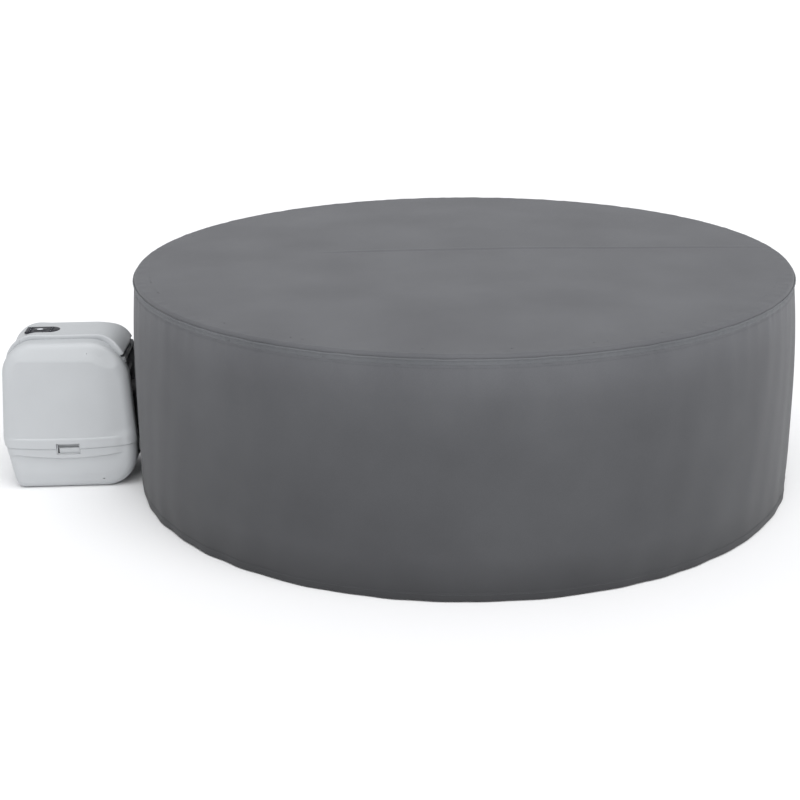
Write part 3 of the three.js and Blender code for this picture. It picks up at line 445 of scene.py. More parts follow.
def stitch_row(name, line, count, length, thick):
    """A row of thread stitches right round the cover. line gives points at angles. Each stitch rises out of
    the cloth and dips back into it."""
    along = np.array([-0.5, -0.36, 0.0, 0.36, 0.5]) * length / rim_radius
    lift = np.array([-0.9, 0.4, 0.6, 0.4, -0.9]) * thick
    at = np.linspace(0, TAU, count, endpoint=False)[:, None] + along
    middle = line(at)
    out = np.stack([np.cos(at), np.sin(at), 0 * at], axis=-1)
    up = np.array([0.0, 0.0, 1.0])
    turns = np.arange(5) / 5 * TAU
    ring = (middle + out * lift[:, None])[:, :, None] + thick * (
        np.cos(turns)[:, None] * out[:, :, None] + np.sin(turns)[:, None] * up)
    index = np.arange(ring[..., 0].size).reshape(count, 5, 5)
    turned_on = np.roll(index, -1, axis=2)
    sides = np.stack([index[:, :-1], turned_on[:, :-1], turned_on[:, 1:], index[:, 1:]], axis=-1)
    sides = sides.reshape(-1, 4)
    ends = np.concatenate([index[:, 0, ::-1], index[:, -1]])
    mesh = bpy.data.meshes.new(name)
    mesh.from_pydata(ring.reshape(-1, 3), [], sides.tolist() + ends.tolist())
    piece = bpy.data.objects.new(name, mesh)
    bpy.context.scene.collection.objects.link(piece)
    return finish(smooth(piece, 60), thread, "cover", "cover_cloth")


def on_skirt(z):
    """Points on the skirt at one height, for each angle."""
    def line(a):
        r = skirt_radius_at(z) + skirt_swell(a, z) + 0.0001
        return np.stack([r * np.cos(a), r * np.sin(a), np.full_like(a, z)], axis=-1)
    return line


def clear_of_arch(piece):
    """Deletes the stitches that would cross the arch."""
    shape = bmesh.new()
    shape.from_mesh(piece.data)
    within = [v for v in shape.verts if v.co.x < 0 and abs(v.co.y) < ARCH_HALF + 0.006]
    bmesh.ops.delete(shape, geom=within, context="VERTS")
    shape.to_mesh(piece.data)
    shape.free()


thread = cloth_material("thread", (0.085, 0.087, 0.094), (0.11, 0.113, 0.122), pitch=0.0006, height=0.0001)
stitch_row("seam_stitches", on_skirt(seam_z - BAND_LOW - 0.004), 900, 0.0048, 0.00035)
stitch_row("hem_stitches", on_skirt(skirt_bottom + HEM - 0.004), 900, 0.0048, 0.00035)
clear_of_arch(bpy.data.objects["hem_stitches"])

# ---------------------------------------------------------------- cover, arch tape
# A folded tape of the same cloth binds the raw edge of the arch that the pump's pipes pass through. It
# follows the cloth up one side, over the round and down the other.

turn_at = np.linspace(-np.pi / 2, np.pi / 2, 61)
rise = np.linspace(skirt_bottom, ARCH_HEIGHT - ARCH_HALF, 60)[:-1]
arch_y = np.concatenate([np.full(59, -ARCH_HALF), ARCH_HALF * np.sin(turn_at), np.full(59, ARCH_HALF)])
arch_z = np.concatenate([rise, ARCH_HEIGHT - ARCH_HALF + ARCH_HALF * np.cos(turn_at), rise[::-1]])
away_y = np.concatenate([np.full(59, -1.0), np.sin(turn_at), np.full(59, 1.0)])
away_z = np.concatenate([np.zeros(59), np.cos(turn_at), np.zeros(59)])
tape_in = np.array([0.013, 0.008, 0.003, -0.0012, -0.0026, -0.0026, -0.0012, 0.003, 0.008, 0.013])
tape_out = np.array([0.0010, 0.0014, 0.0015, 0.0013, 0.0002, -0.0026, -0.0040, -0.0044, -0.0042, -0.0038])
tape_y = arch_y[:, None] + away_y[:, None] * tape_in
tape_z = arch_z[:, None] + away_z[:, None] * tape_in
azimuth = np.pi - np.arcsin(tape_y / skirt_radius)
tape_r = skirt_radius_at(tape_z) + skirt_swell(azimuth, tape_z) + tape_out
tape_x = -np.sqrt(tape_r ** 2 - tape_y ** 2)
tape_uv = np.stack(np.meshgrid(np.linspace(0, 0.034, 10), np.linspace(0, 0.94, len(arch_y))), axis=-1)
tape = surface("arch_tape", np.stack([tape_x, tape_y, tape_z], axis=-1), uv=tape_uv)
thicken(smooth(tape, 60), 0.0008)
finish(tape, seam_cloth, "cover", "cover_cloth")

# ---------------------------------------------------------------- lid
# The lid is a coated sheet that lies over the tub's rim, with a band welded round it that hangs over the
# shoulder. A flat air core fills the bath's mouth from below and carries the sheet in the middle.


def softened(corners, radius, steps=6, closed=False):
    """A polyline with each corner eased by a short parabola, which starts and ends at the given distance from
    the corner or at 45% of the shorter side."""
    points = np.asarray(corners, float)
    before = np.roll(points, 1, axis=0)
    after = np.roll(points, -1, axis=0)
    back, ahead = before - points, after - points
    back_length = np.linalg.norm(back, axis=1, keepdims=True)
    ahead_length = np.linalg.norm(ahead, axis=1, keepdims=True)
    reach = np.minimum(radius, 0.45 * np.minimum(back_length, ahead_length))
    start = points + back / np.maximum(back_length, 1e-12) * reach
    end = points + ahead / np.maximum(ahead_length, 1e-12) * reach
    t = np.linspace(0, 1, steps)[None, :, None]
    eased = (1 - t) ** 2 * start[:, None] + 2 * t * (1 - t) * points[:, None] + t ** 2 * end[:, None]
    if closed:
        return np.concatenate([eased.reshape(-1, points.shape[1]), eased[0, :1]])
    return np.concatenate([points[:1], eased[1:-1].reshape(-1, points.shape[1]), points[-1:]])


def turned(name, profile, columns=96, axis="Z", heading=0.0, middle=(0, 0, 0), wave=None):
    """A profile of (radius, height) points carried round an axis. The axis is Z, or X turned about Z by the
    heading. wave(angle, row) is added to the radius. The profile runs so that its outside is on its left."""
    profile = np.asarray(profile, float)
    a = np.linspace(0, TAU, columns, endpoint=False)
    r, a = np.meshgrid(profile[:, 0], a, indexing="ij")
    h = np.repeat(profile[:, 1:2], columns, axis=1)
    if wave is not None:
        r = r + wave(a, np.arange(len(profile))[:, None]) * (r > 1e-6)
    if axis == "Z":
        points = np.stack([r * np.cos(a), r * np.sin(a), h], axis=-1)
    else:
        along, side, up = h, r * np.cos(a), r * np.sin(a)
        c, s = np.cos(heading), np.sin(heading)
        points = np.stack([along * c - side * s, along * s + side * c, up], axis=-1)
    piece = joined(name, surface(name, points + np.array(middle), round_u=True))
    outward(piece)
    return smooth(piece)


def outward(piece):
    """Faces of a closed piece turned to point out, after its doubles are merged."""
    shape = bmesh.new()
    shape.from_mesh(piece.data)
    bmesh.ops.recalc_face_normals(shape, faces=shape.faces)
    shape.to_mesh(piece.data)
    shape.free()


def sheet_material(name, dark, light, emboss=0.004, depth=0.00018, roughness=0.45):
    """Coated sheet: a woven scrim shows through the coating as crossed ribs, under clouds of slight wear."""
    material, nodes, links, shader = new_material(name, light, roughness)
    coordinates = nodes.new("ShaderNodeTexCoord")
    ribs = []
    for turn_z in (45, -45):
        mapping = nodes.new("ShaderNodeMapping")
        mapping.inputs["Rotation"].default_value = (0.6, 0.4, np.radians(turn_z))
        links.new(coordinates.outputs["Object"], mapping.inputs["Vector"])
        rib = nodes.new("ShaderNodeTexWave")
        rib.inputs["Scale"].default_value = 0.314 / emboss
        rib.inputs["Distortion"].default_value = 0.4
        links.new(mapping.outputs["Vector"], rib.inputs["Vector"])
        ribs.append(rib)
    cross = nodes.new("ShaderNodeMath")
    cross.operation = "MAXIMUM"
    links.new(ribs[0].outputs["Fac"], cross.inputs[0])
    links.new(ribs[1].outputs["Fac"], cross.inputs[1])
    bump = nodes.new("ShaderNodeBump")
    bump.inputs["Strength"].default_value = 0.4
    bump.inputs["Distance"].default_value = depth
    links.new(cross.outputs[0], bump.inputs["Height"])
    links.new(bump.outputs[0], shader.inputs["Normal"])
    wear = nodes.new("ShaderNodeTexNoise")
    wear.inputs["Scale"].default_value = 5
    wear.inputs["Detail"].default_value = 6
    links.new(coordinates.outputs["Object"], wear.inputs["Vector"])
    tone = nodes.new("ShaderNodeValToRGB")
    tone.color_ramp.elements[0].position = 0.3
    tone.color_ramp.elements[1].position = 0.7
    tone.color_ramp.elements[0].color = (*dark, 1)
    tone.color_ramp.elements[1].color = (*light, 1)
    links.new(wear.outputs["Fac"], tone.inputs["Fac"])
    links.new(tone.outputs["Color"], shader.inputs["Base Color"])
    gloss = nodes.new("ShaderNodeMapRange")
    gloss.inputs["To Min"].default_value = roughness - 0.08
    gloss.inputs["To Max"].default_value = roughness + 0.12
    links.new(wear.outputs["Fac"], gloss.inputs["Value"])
    links.new(gloss.outputs["Result"], shader.inputs["Roughness"])
    return material


LID_SHEET = 0.003
lid_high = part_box("lid_top")[1]
valance_low, valance_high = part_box("lid_valance")
lid_radius = lid_high.x
lid_rise = 0.005

share = np.linspace(0, 1, 90)
lid_line = np.stack([share * (lid_radius - 0.001), lid_high.z + lid_rise * (1 - share ** 2)], axis=1)
R, A = np.meshgrid(lid_line[:, 0], angle, indexing="ij")
Z = np.repeat(lid_line[:, 1:2], COLUMNS, axis=1)
inner = R / lid_radius
Z += 0.0012 * waves(R * np.cos(A) * 4 + R * np.sin(A) * 2, 31, [1, 2, 3]) * (1 - inner ** 6)
Z -= 0.0015 * np.exp(-((R - 0.742) / 0.012) ** 2)
Z += 0.0008 * np.exp(-((R - 0.955) / 0.004) ** 2)
Z -= 0.0010 * np.exp(-((R - 0.962) / 0.002) ** 2)
X, Y = R * np.cos(A), R * np.sin(A)
lid_uv = np.stack([np.hstack([X, X[:, :1]]), np.hstack([Y, Y[:, :1]])], axis=-1)
lid_panel = joined("lid_panel", surface("lid_panel", np.stack([X, Y, Z], axis=-1), round_u=True, uv=lid_uv))
thicken(smooth(lid_panel), LID_SHEET)
lid_sheet = sheet_material("lid_sheet", (0.040, 0.043, 0.048), (0.058, 0.061, 0.067))
finish(lid_panel, lid_sheet, "spa_lid", "lid_sheet", "lid_top")

z_rows = np.linspace(valance_high.z, valance_low.z, 40)
Z, A = np.meshgrid(z_rows, angle, indexing="ij")
hang = (valance_high.z - Z) / (valance_high.z - valance_low.z)
R = lid_radius + 0.0007 * waves(A, 33, [9, 14, 23]) * hang - 0.0006 * np.exp(-((hang - 0.88) / 0.03) ** 2)
valance = surface("lid_band", np.stack([R * np.cos(A), R * np.sin(A), Z], axis=-1), round_u=True)
thicken(smooth(valance), LID_SHEET)
finish(valance, lid_sheet, "spa_lid", "lid_sheet", "lid_valance")

# ---------------------------------------------------------------- lid's air cushion
# A round bladder of thin sheet, blown up until it is tight. Rings of welds hold its two faces together, so it
# swells into ribs between them.

CUSHION_RINGS = 7
core_low, core_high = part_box("lid_air_core")
core_radius = core_high.x
core_middle = (core_low.z + core_high.z) / 2
core_half = (core_high.z - core_low.z) / 2

t = np.linspace(0, 1, 160)
edge_round = np.sqrt(np.clip(1 - np.clip((t - 0.94) / 0.06, 0, 1) ** 2, 0, 1))
ribs = 1 - 0.16 * np.exp(-((np.mod(t / 0.94 * CUSHION_RINGS + 0.5, 1) - 0.5) / 0.10) ** 2) * (t < 0.93)
half = core_half * edge_round * ribs
top_half = np.stack([t * core_radius, core_middle + half], axis=1)
low_half = np.stack([t[::-1] * core_radius, core_middle - half[::-1]], axis=1)
cushion = turned("lid_air_cushion", np.concatenate([top_half, low_half[1:]]), columns=288,
                 wave=lambda a, row: 0.0012 * waves(a, 34, [24, 31, 47]))
bath_sheet = sheet_material("bath_sheet", (0.40, 0.43, 0.46), (0.47, 0.50, 0.53), emboss=0.003,
                            roughness=0.38)
finish(cushion, bath_sheet, "spa_lid", "bath_sheet", "lid_air_core")

# ---------------------------------------------------------------- lid's buckles
# Four straps of webbing hang from the band. Each ends in a moulded tongue with two sprung prongs, which snaps
# into a socket fixed to the tub's wall.


def block(low, high, ease, heading=0.0, name="block"):
    """A box with eased edges between two corners, turned about Z by the heading."""
    low, high = np.array(low, float), np.array(high, float)
    shape = bmesh.new()
    bmesh.ops.create_cube(shape, size=1)
    bmesh.ops.scale(shape, vec=Vector(high - low), verts=shape.verts)
    bmesh.ops.translate(shape, vec=Vector((low + high) / 2), verts=shape.verts)
    bmesh.ops.bevel(shape, geom=list(shape.edges), offset=ease, segments=3, profile=0.5, affect="EDGES")
    bmesh.ops.rotate(shape, cent=(0, 0, 0), matrix=Matrix.Rotation(heading, 3, "Z"), verts=shape.verts)
    mesh = bpy.data.meshes.new(name)
    shape.to_mesh(mesh)
    shape.free()
    piece = bpy.data.objects.new(name, mesh)
    bpy.context.scene.collection.objects.link(piece)
    return piece


def plastic_material(name, color, roughness, grain=900, depth=0.00006, shade=0.88, coat=0.0, scuff=7):
    """Moulded plastic: a fine spark-eroded grain, and clouds of slightly different gloss and tone."""
    material, nodes, links, shader = new_material(name, color, roughness)
    coordinates = nodes.new("ShaderNodeTexCoord")
    pits = nodes.new("ShaderNodeTexNoise")
    pits.inputs["Scale"].default_value = grain
    pits.inputs["Detail"].default_value = 2
    links.new(coordinates.outputs["Object"], pits.inputs["Vector"])
    bump = nodes.new("ShaderNodeBump")
    bump.inputs["Strength"].default_value = 0.3
    bump.inputs["Distance"].default_value = depth
    links.new(pits.outputs["Fac"], bump.inputs["Height"])
    links.new(bump.outputs[0], shader.inputs["Normal"])
    cloud = nodes.new("ShaderNodeTexNoise")
    cloud.inputs["Scale"].default_value = scuff
    cloud.inputs["Detail"].default_value = 5
    links.new(coordinates.outputs["Object"], cloud.inputs["Vector"])
    gloss = nodes.new("ShaderNodeMapRange")
    gloss.inputs["To Min"].default_value = max(roughness - 0.07, 0.03)
    gloss.inputs["To Max"].default_value = roughness + 0.10
    links.new(cloud.outputs["Fac"], gloss.inputs["Value"])
    links.new(gloss.outputs["Result"], shader.inputs["Roughness"])
    tone = nodes.new("ShaderNodeValToRGB")
    tone.color_ramp.elements[0].position = 0.35
    tone.color_ramp.elements[1].position = 0.65
    tone.color_ramp.elements[0].color = (*(shade * c for c in color), 1)
    tone.color_ramp.elements[1].color = (*color, 1)
    links.new(cloud.outputs["Fac"], tone.inputs["Fac"])
    links.new(tone.outputs["Color"], shader.inputs["Base Color"])
    shader.inputs["Coat Weight"].default_value = coat
    shader.inputs["Coat Roughness"].default_value = 0.08
    return material


dark_plastic = plastic_material("dark_plastic", (0.030, 0.031, 0.034), 0.45)
webbing = cloth_material("webbing", (0.020, 0.021, 0.023), (0.030, 0.031, 0.034), pitch=0.0016, height=0.0004)

for number in (1, 2, 3, 4):
    heading = np.radians(90 * number - 45)
    low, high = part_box(f"lid_buckle_{number}")
    strap_r = lid_radius + 0.0004
    hung = np.linspace(high.z, low.z + 0.034, 60)
    across = np.linspace(-0.019, 0.019, 24)
    H, W = np.meshgrid(hung, across, indexing="ij")
    lift = 0.0005 * np.sin(TAU * H / 0.0016) * 0.3 + 0.0009 * np.exp(-((H - (high.z - 0.012)) / 0.004) ** 2)
    depth = strap_r + 0.0021 + lift
    c, s = np.cos(heading), np.sin(heading)
    strap_uv = np.stack([W, H], axis=-1)
    strap = surface("strap", np.stack([depth * c - W * s, depth * s + W * c, H], axis=-1), uv=strap_uv)
    thicken(strap, 0.002)
    deps = bpy.context.evaluated_depsgraph_get()
    strap.data = bpy.data.meshes.new_from_object(strap.evaluated_get(deps))
    strap.modifiers.clear()
    clip = block((strap_r, -0.019, low.z + 0.022), (strap_r + 0.006, 0.019, low.z + 0.040), 0.0012, heading)
    tongue = block((strap_r, -0.006, low.z + 0.002), (strap_r + 0.005, 0.006, low.z + 0.030), 0.0010, heading)
    prongs = [block((strap_r + 0.0005, start, low.z), (strap_r + 0.0055, stop, low.z + 0.030), 0.0010,
                    heading)
              for start, stop in ((-0.0120, -0.0075), (0.0075, 0.0120))]
    buckle = joined(f"lid_strap_{number}", strap, clip, tongue, *prongs, weld=1e-7)
    finish(smooth(buckle), webbing, "spa_lid", "dark_plastic", f"lid_buckle_{number}")

    low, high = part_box(f"buckle_socket_{number}")
    r0 = strap_r - 0.003
    z0, z1 = low.z, high.z
    side_a = block((r0, -0.022, z0), (r0 + 0.013, -0.0130, z1 - 0.004), 0.0015, heading)
    side_b = block((r0, 0.0130, z0), (r0 + 0.013, 0.022, z1 - 0.004), 0.0015, heading)
    face = block((r0 + 0.0098, -0.019, z0 + 0.003), (r0 + 0.013, 0.019, z1 - 0.001), 0.0012, heading)
    back = block((r0, -0.0215, z0 + 0.001), (r0 + 0.0024, 0.0215, z1 - 0.001), 0.0010, heading)
    foot = block((r0, -0.0215, z0), (r0 + 0.012, 0.0215, z0 + 0.010), 0.0015, heading)
    socket = joined(f"socket_{number}", side_a, side_b, face, back, foot, weld=1e-7)
    finish(smooth(socket), dark_plastic, "tub", "dark_plastic", f"buckle_socket_{number}")

# ---------------------------------------------------------------- tub, wall and bath
# The wall is an air ring of coated sheet. Webs inside hold the outer and inner faces, and draw a shallow
# upright crease at each one. The floor sheet closes the ring below, and the rim band closes it above.

WEBS = 24
WEB_STEP = TAU / WEBS
SHEET = 0.002

outer_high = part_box("outer_wall")[1]
rim_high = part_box("rim_band")[1]
outer_radius = outer_high.x


def web_crease(a, depth, width):
    """Depth of the creases at the webs: a narrow bell curve at each web."""
    away = np.mod(a, WEB_STEP) / WEB_STEP - 0.5
    return depth * np.exp(-(away / width) ** 2)


def arc(centre_r, centre_z, radius, start, end, steps=12):
    """Points of an arc in the (radius, height) plane, from one angle in degrees to another."""
    t = np.radians(np.linspace(start, end, steps))
    return np.stack([centre_r + radius * np.cos(t), centre_z + radius * np.sin(t)], axis=1)


def wall_line(z):
    """Radius of the outer wall: fullest at mid height, 12 mm less at its two ends."""
    return outer_radius - 0.012 * ((2 * z / 0.64) - 1) ** 2


shoulder = arc(wall_line(0.6) - 0.040, 0.600, 0.040, 90, 0, 16)
foot = arc(wall_line(0.0384) - 0.034, 0.0384, 0.034, 0, -90, 16)
between = np.linspace(0.596, 0.042, 80)
outer_line = np.concatenate([shoulder, np.stack([wall_line(between), between], axis=1), foot])
R, A = np.meshgrid(outer_line[:, 0], np.linspace(0, TAU, 960, endpoint=False), indexing="ij")
Z = np.repeat(outer_line[:, 1:2], 960, axis=1)
upright = np.clip(np.minimum((Z - 0.03) / 0.08, (0.61 - Z) / 0.08), 0, 1)
R = R - web_crease(A, 0.0045, 0.045) * upright
wall_uv = np.stack(np.meshgrid(np.linspace(0, TAU * outer_radius, 961), outer_line[:, 1]), axis=-1)
outer_wall = surface("tub_outer_wall", np.stack([R * np.cos(A), R * np.sin(A), Z], axis=-1), round_u=True,
                     uv=wall_uv)
thicken(smooth(outer_wall), SHEET)
tub_sheet = sheet_material("tub_sheet", (0.075, 0.079, 0.087), (0.10, 0.105, 0.113), emboss=0.005)
finish(outer_wall, tub_sheet, "tub", "tub_sheet", "outer_wall")

rim_inner, rim_outer = 0.785, 0.9225
t = np.linspace(0, 1, 40)
rim_line = np.stack([rim_outer - t * (rim_outer - rim_inner),
                     0.640 + (rim_high.z - 0.640) * np.sin(np.pi * t) ** 0.8], axis=1)[::-1]
R, A = np.meshgrid(rim_line[:, 0], angle, indexing="ij")
Z = np.repeat(rim_line[:, 1:2], COLUMNS, axis=1) - web_crease(A, 0.003, 0.05) * np.sin(
    np.pi * (R - rim_inner) / (rim_outer - rim_inner))
rim_band = surface("tub_rim", np.stack([R * np.cos(A), R * np.sin(A), Z], axis=-1), round_u=True)
thicken(smooth(rim_band), SHEET)
finish(rim_band, tub_sheet, "tub", "tub_sheet", "rim_band")

t = np.linspace(0.600, 0.0044, 70)
inner_line = np.concatenate([arc(0.785, 0.600, 0.040, 90, 180, 16),
                             np.stack([np.full(70, 0.745), t], axis=1)[1:]])
R, A = np.meshgrid(inner_line[:, 0], angle, indexing="ij")
Z = np.repeat(inner_line[:, 1:2], COLUMNS, axis=1)
R = R + web_crease(A, 0.0035, 0.05) * np.clip((0.61 - Z) / 0.08, 0, 1)
bath_points = np.stack([R * np.cos(A), R * np.sin(A), Z], axis=-1)
bath_wall = surface("bath_wall", bath_points, round_u=True, flip=True)
thicken(smooth(bath_wall), SHEET)
finish(bath_wall, bath_sheet, "tub", "bath_sheet", "inner_wall")

floor_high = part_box("floor_sheet")[1]
share = np.linspace(0, 1, 110)
R, A = np.meshgrid(share * floor_high.x, angle, indexing="ij")
Z = floor_high.z + 0 * R - 0.0009 * (0.5 + 0.5 * np.cos(R * 150)) * (R < 0.70)
tub_floor = joined("tub_floor", surface("floor_top", np.stack([R * np.cos(A), R * np.sin(A), Z], axis=-1),
                                        round_u=True))
thicken(smooth(tub_floor), floor_high.z)
finish(tub_floor, bath_sheet, "tub", "bath_sheet", "floor_sheet")

channel_low, channel_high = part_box("bubble_channel")
channel_line = softened([(0.704, channel_low.z), (0.744, channel_low.z), (0.744, channel_high.z),
                         (0.721, channel_high.z), (0.704, channel_high.z - 0.017)], 0.004, closed=True)
bubble_channel = turned("bubble_ring", channel_line, columns=480,
                        wave=lambda a, row: -0.0008 * (np.abs(np.mod(a, TAU / 60) - TAU / 120) < 0.006))
finish(bubble_channel, bath_sheet, "tub", "bath_sheet", "bubble_channel")

for node in ("wall_webs",):
    cad[node].data.materials.clear()
    cad[node].data.materials.append(tub_sheet)

# ---------------------------------------------------------------- tub, pipes, filter and nozzle
# Three short pipes pass through the wall and end in the coupling nuts. The water drawn from the bath passes
# a pleated paper cartridge in a round housing, and comes back through a nozzle.

pale_plastic = plastic_material("pale_plastic", (0.60, 0.62, 0.64), 0.42)
for node in ("suction_pipe", "return_pipe", "air_pipe"):
    cad[node].data.materials.clear()
    cad[node].data.materials.append(pale_plastic)

housing_low, housing_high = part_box("filter_housing")
filter_x0, filter_x1 = housing_low.x, housing_high.x
filter_at = (0, (housing_low.y + housing_high.y) / 2, (housing_low.z + housing_high.z) / 2)
housing_line = softened([(0.019, filter_x0), (0.050, filter_x0), (0.050, filter_x1), (0.0465, filter_x1),
                         (0.0465, filter_x0 + 0.004), (0.019, filter_x0 + 0.004)], 0.0015, closed=True)
filter_housing = turned("filter_can", housing_line, 96, axis="X", middle=filter_at)
finish(filter_housing, pale_plastic, "tub", "pale_plastic", "filter_housing")

cartridge_low, cartridge_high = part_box("filter_cartridge")
PLEATS = 72
pleat_line = np.array([(0.021, cartridge_low.x), (0.0425, cartridge_low.x), (0.0425, cartridge_low.x + 0.006),
                       (0.0420, cartridge_low.x + 0.0065), (0.0420, cartridge_high.x - 0.0065),
                       (0.0425, cartridge_high.x - 0.006), (0.0425, cartridge_high.x),
                       (0.021, cartridge_high.x), (0.021, cartridge_low.x)])
cartridge = turned("pleated_cartridge", pleat_line, PLEATS * 8, axis="X", middle=filter_at,
                   wave=lambda a, row: -0.007 * (0.5 + 0.5 * np.cos(PLEATS * a)) * ((row == 3) | (row == 4)))
paper, nodes, links, shader = new_material("filter_paper", (0.80, 0.81, 0.80), 0.9)
coordinates = nodes.new("ShaderNodeTexCoord")
fibre = nodes.new("ShaderNodeTexNoise")
fibre.inputs["Scale"].default_value = 700
fibre.inputs["Detail"].default_value = 6
links.new(coordinates.outputs["Object"], fibre.inputs["Vector"])
bump = nodes.new("ShaderNodeBump")
bump.inputs["Distance"].default_value = 0.0002
links.new(fibre.outputs["Fac"], bump.inputs["Height"])
links.new(bump.outputs[0], shader.inputs["Normal"])
stain = nodes.new("ShaderNodeValToRGB")
stain.color_ramp.elements[0].color = (0.70, 0.71, 0.68, 1)
stain.color_ramp.elements[1].color = (0.84, 0.85, 0.84, 1)
links.new(fibre.outputs["Fac"], stain.inputs["Fac"])
links.new(stain.outputs["Color"], shader.inputs["Base Color"])
finish(cartridge, paper, "filter", "filter_paper", "filter_cartridge")
cad["filter_cap"].data.materials.clear()
cad["filter_cap"].data.materials.append(pale_plastic)

nozzle_low, nozzle_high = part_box("return_nozzle")
nozzle_at = (0, (nozzle_low.y + nozzle_high.y) / 2, (nozzle_low.z + nozzle_high.z) / 2)
nozzle_line = softened([(0.016, nozzle_low.x), (0.027, nozzle_low.x), (0.027, nozzle_high.x - 0.004),
                        (0.020, nozzle_high.x), (0.013, nozzle_high.x), (0.013, nozzle_low.x + 0.004)],
                       0.002, closed=True)
nozzle = turned("bath_nozzle", nozzle_line, 96, axis="X", middle=nozzle_at)
finish(nozzle, pale_plastic, "tub", "pale_plastic", "return_nozzle")

# ---------------------------------------------------------------- coupling nuts
# Each nut is a moulded ring with rounded grips round its rim and a lip that pulls the pipe's collar against
# the pump's port.


def grip_ring(name, node, bore, grips, height):
    """A coupling nut about X: rounded grips stand out of a ring, between two plain lips."""
    low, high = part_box(node)
    rim = (high.z - low.z) / 2 - height
    middle = (0, (low.y + high.y) / 2, (low.z + high.z) / 2)
    x0, x1 = low.x, high.x
    ends = np.linspace(x0 + 0.0055, x1 - 0.0055, 14)
    line = [(bore, x0), (rim - 0.002, x0), (rim, x0 + 0.002), (rim, x0 + 0.004)]
    line += [(rim, x) for x in ends]
    line += [(rim, x1 - 0.004), (rim, x1 - 0.002), (rim - 0.002, x1), (bore, x1), (bore, x0)]
    first, last = 4, 4 + len(ends) - 1

    def grip(a, row):
        swell = np.clip((row - first) / 3, 0, 1) * np.clip((last - row) / 3, 0, 1)
        return height * swell * np.clip(1.6 * np.cos(grips * a), 0, 1) ** 0.7

    return turned(name, line, grips * 24, axis="X", middle=middle, wave=grip)


for node, body, bore in (("suction_nut", "suction_coupling", 0.0195),
                         ("return_nut", "return_coupling", 0.0195),
                         ("air_nut", "air_coupling", 0.0145)):
    nut = grip_ring(node.replace("_nut", "_ring"), node, bore, 8, 0.0015)
    finish(nut, dark_plastic, body, "dark_plastic", node)

# ---------------------------------------------------------------- wall valves
# The air valve and the drain valve are moulded flanges welded to the wall, each closed by a screw cap whose
# rim is knurled for wet fingers.

for prefix, degrees, z in (("air", 153, 0.330), ("drain", 135, 0.070)):
    heading = np.radians(degrees)
    reach = max(wall_line(z - 0.027), wall_line(z + 0.027))
    flange_line = softened([(0.014, reach - 0.016), (0.022, reach - 0.016), (0.022, reach + 0.0005),
                            (0.027, reach + 0.0005), (0.0262, reach + 0.003), (0.014, reach + 0.003)],
                           0.0012, closed=True)
    flange = turned(f"{prefix}_valve_flange", flange_line, 96, axis="X", heading=heading, middle=(0, 0, z))
    finish(flange, pale_plastic, "tub", "pale_plastic", f"{prefix}_valve")
    x0 = reach + 0.0034
    rows_out = np.linspace(x0 + 0.0015, x0 + 0.0075, 8)
    cap_line = [(0, x0 - 0.010), (0.012, x0 - 0.010), (0.012, x0), (0.0185, x0)]
    cap_line += [(0.0200, x) for x in rows_out]
    cap_line += [(0.0188, x0 + 0.009), (0.0150, x0 + 0.009), (0.0145, x0 + 0.0082), (0, x0 + 0.0086)]
    cap = turned(f"{prefix}_valve_lid", cap_line, 288, axis="X", heading=heading, middle=(0, 0, z),
                 wave=lambda a, row: -0.0009 * (np.cos(36 * a) > 0.2) * ((row > 3) & (row < 12)))
    finish(cap, dark_plastic, f"{prefix}_cap", "dark_plastic", f"{prefix}_valve_cap")

# ---------------------------------------------------------------- pump case, sides and base
# The case is moulded in pieces with 3 mm walls: a side shell on the left and on the right, a base below the
# parting line, a cowl in front and a strip over the top. Its faces are crowned, with soft creases.

PUMP_X = -1.216
PART_Z = 0.131
SHELL_TOP = 0.456
STRIP_TOP = 0.474
HALF = 0.140
EDGE = 0.030
LEAN = 0.42
STRIP_HALF = 0.072
CASE_WALL = 0.003
LATCH = (-0.029, 0.041, 0.113, 0.147)
LATCH_DEPTH = 0.014


def side_outline(top):
    """The case's outline seen from its side, as (x, z, radius) of its corners: the foot tucks in, the front
    leans, and the rear sweeps into the top with a large round."""
    return [(-0.162, 0, 0.034), (0.206, 0, 0.100), (0.210, 0.131, 0.220),
            (0.192, top, 0.120 - top + SHELL_TOP), (-0.168, top, 0.095), (-0.190, 0.151, 0.160)]


def traced(corners, steps=40):
    """A closed outline from its rounded corners: arcs tangent to the sides, joined by straight runs. Returns
    its points and the outward normal at each."""
    corner = np.array([c[:2] for c in corners])
    radius = np.array([c[2] for c in corners])
    back = np.roll(corner, 1, axis=0) - corner
    ahead = np.roll(corner, -1, axis=0) - corner
    back /= np.linalg.norm(back, axis=1, keepdims=True)
    ahead /= np.linalg.norm(ahead, axis=1, keepdims=True)
    half = np.arccos(np.clip((back * ahead).sum(1), -1, 1)) / 2
    bisector = back + ahead
    bisector /= np.linalg.norm(bisector, axis=1, keepdims=True)
    centre = corner + bisector * (radius / np.sin(half))[:, None]
    first = corner + back * (radius / np.tan(half))[:, None] - centre
    last = corner + ahead * (radius / np.tan(half))[:, None] - centre
    start = np.arctan2(first[:, 1], first[:, 0])
    sweep = np.mod(np.arctan2(last[:, 1], last[:, 0]) - start, TAU)
    t = np.linspace(0, 1, steps)
    around = start[:, None] + sweep[:, None] * t
    normal = np.stack([np.cos(around), np.sin(around)], axis=-1)
    points = centre[:, None] + normal * radius[:, None, None]
    return points, normal


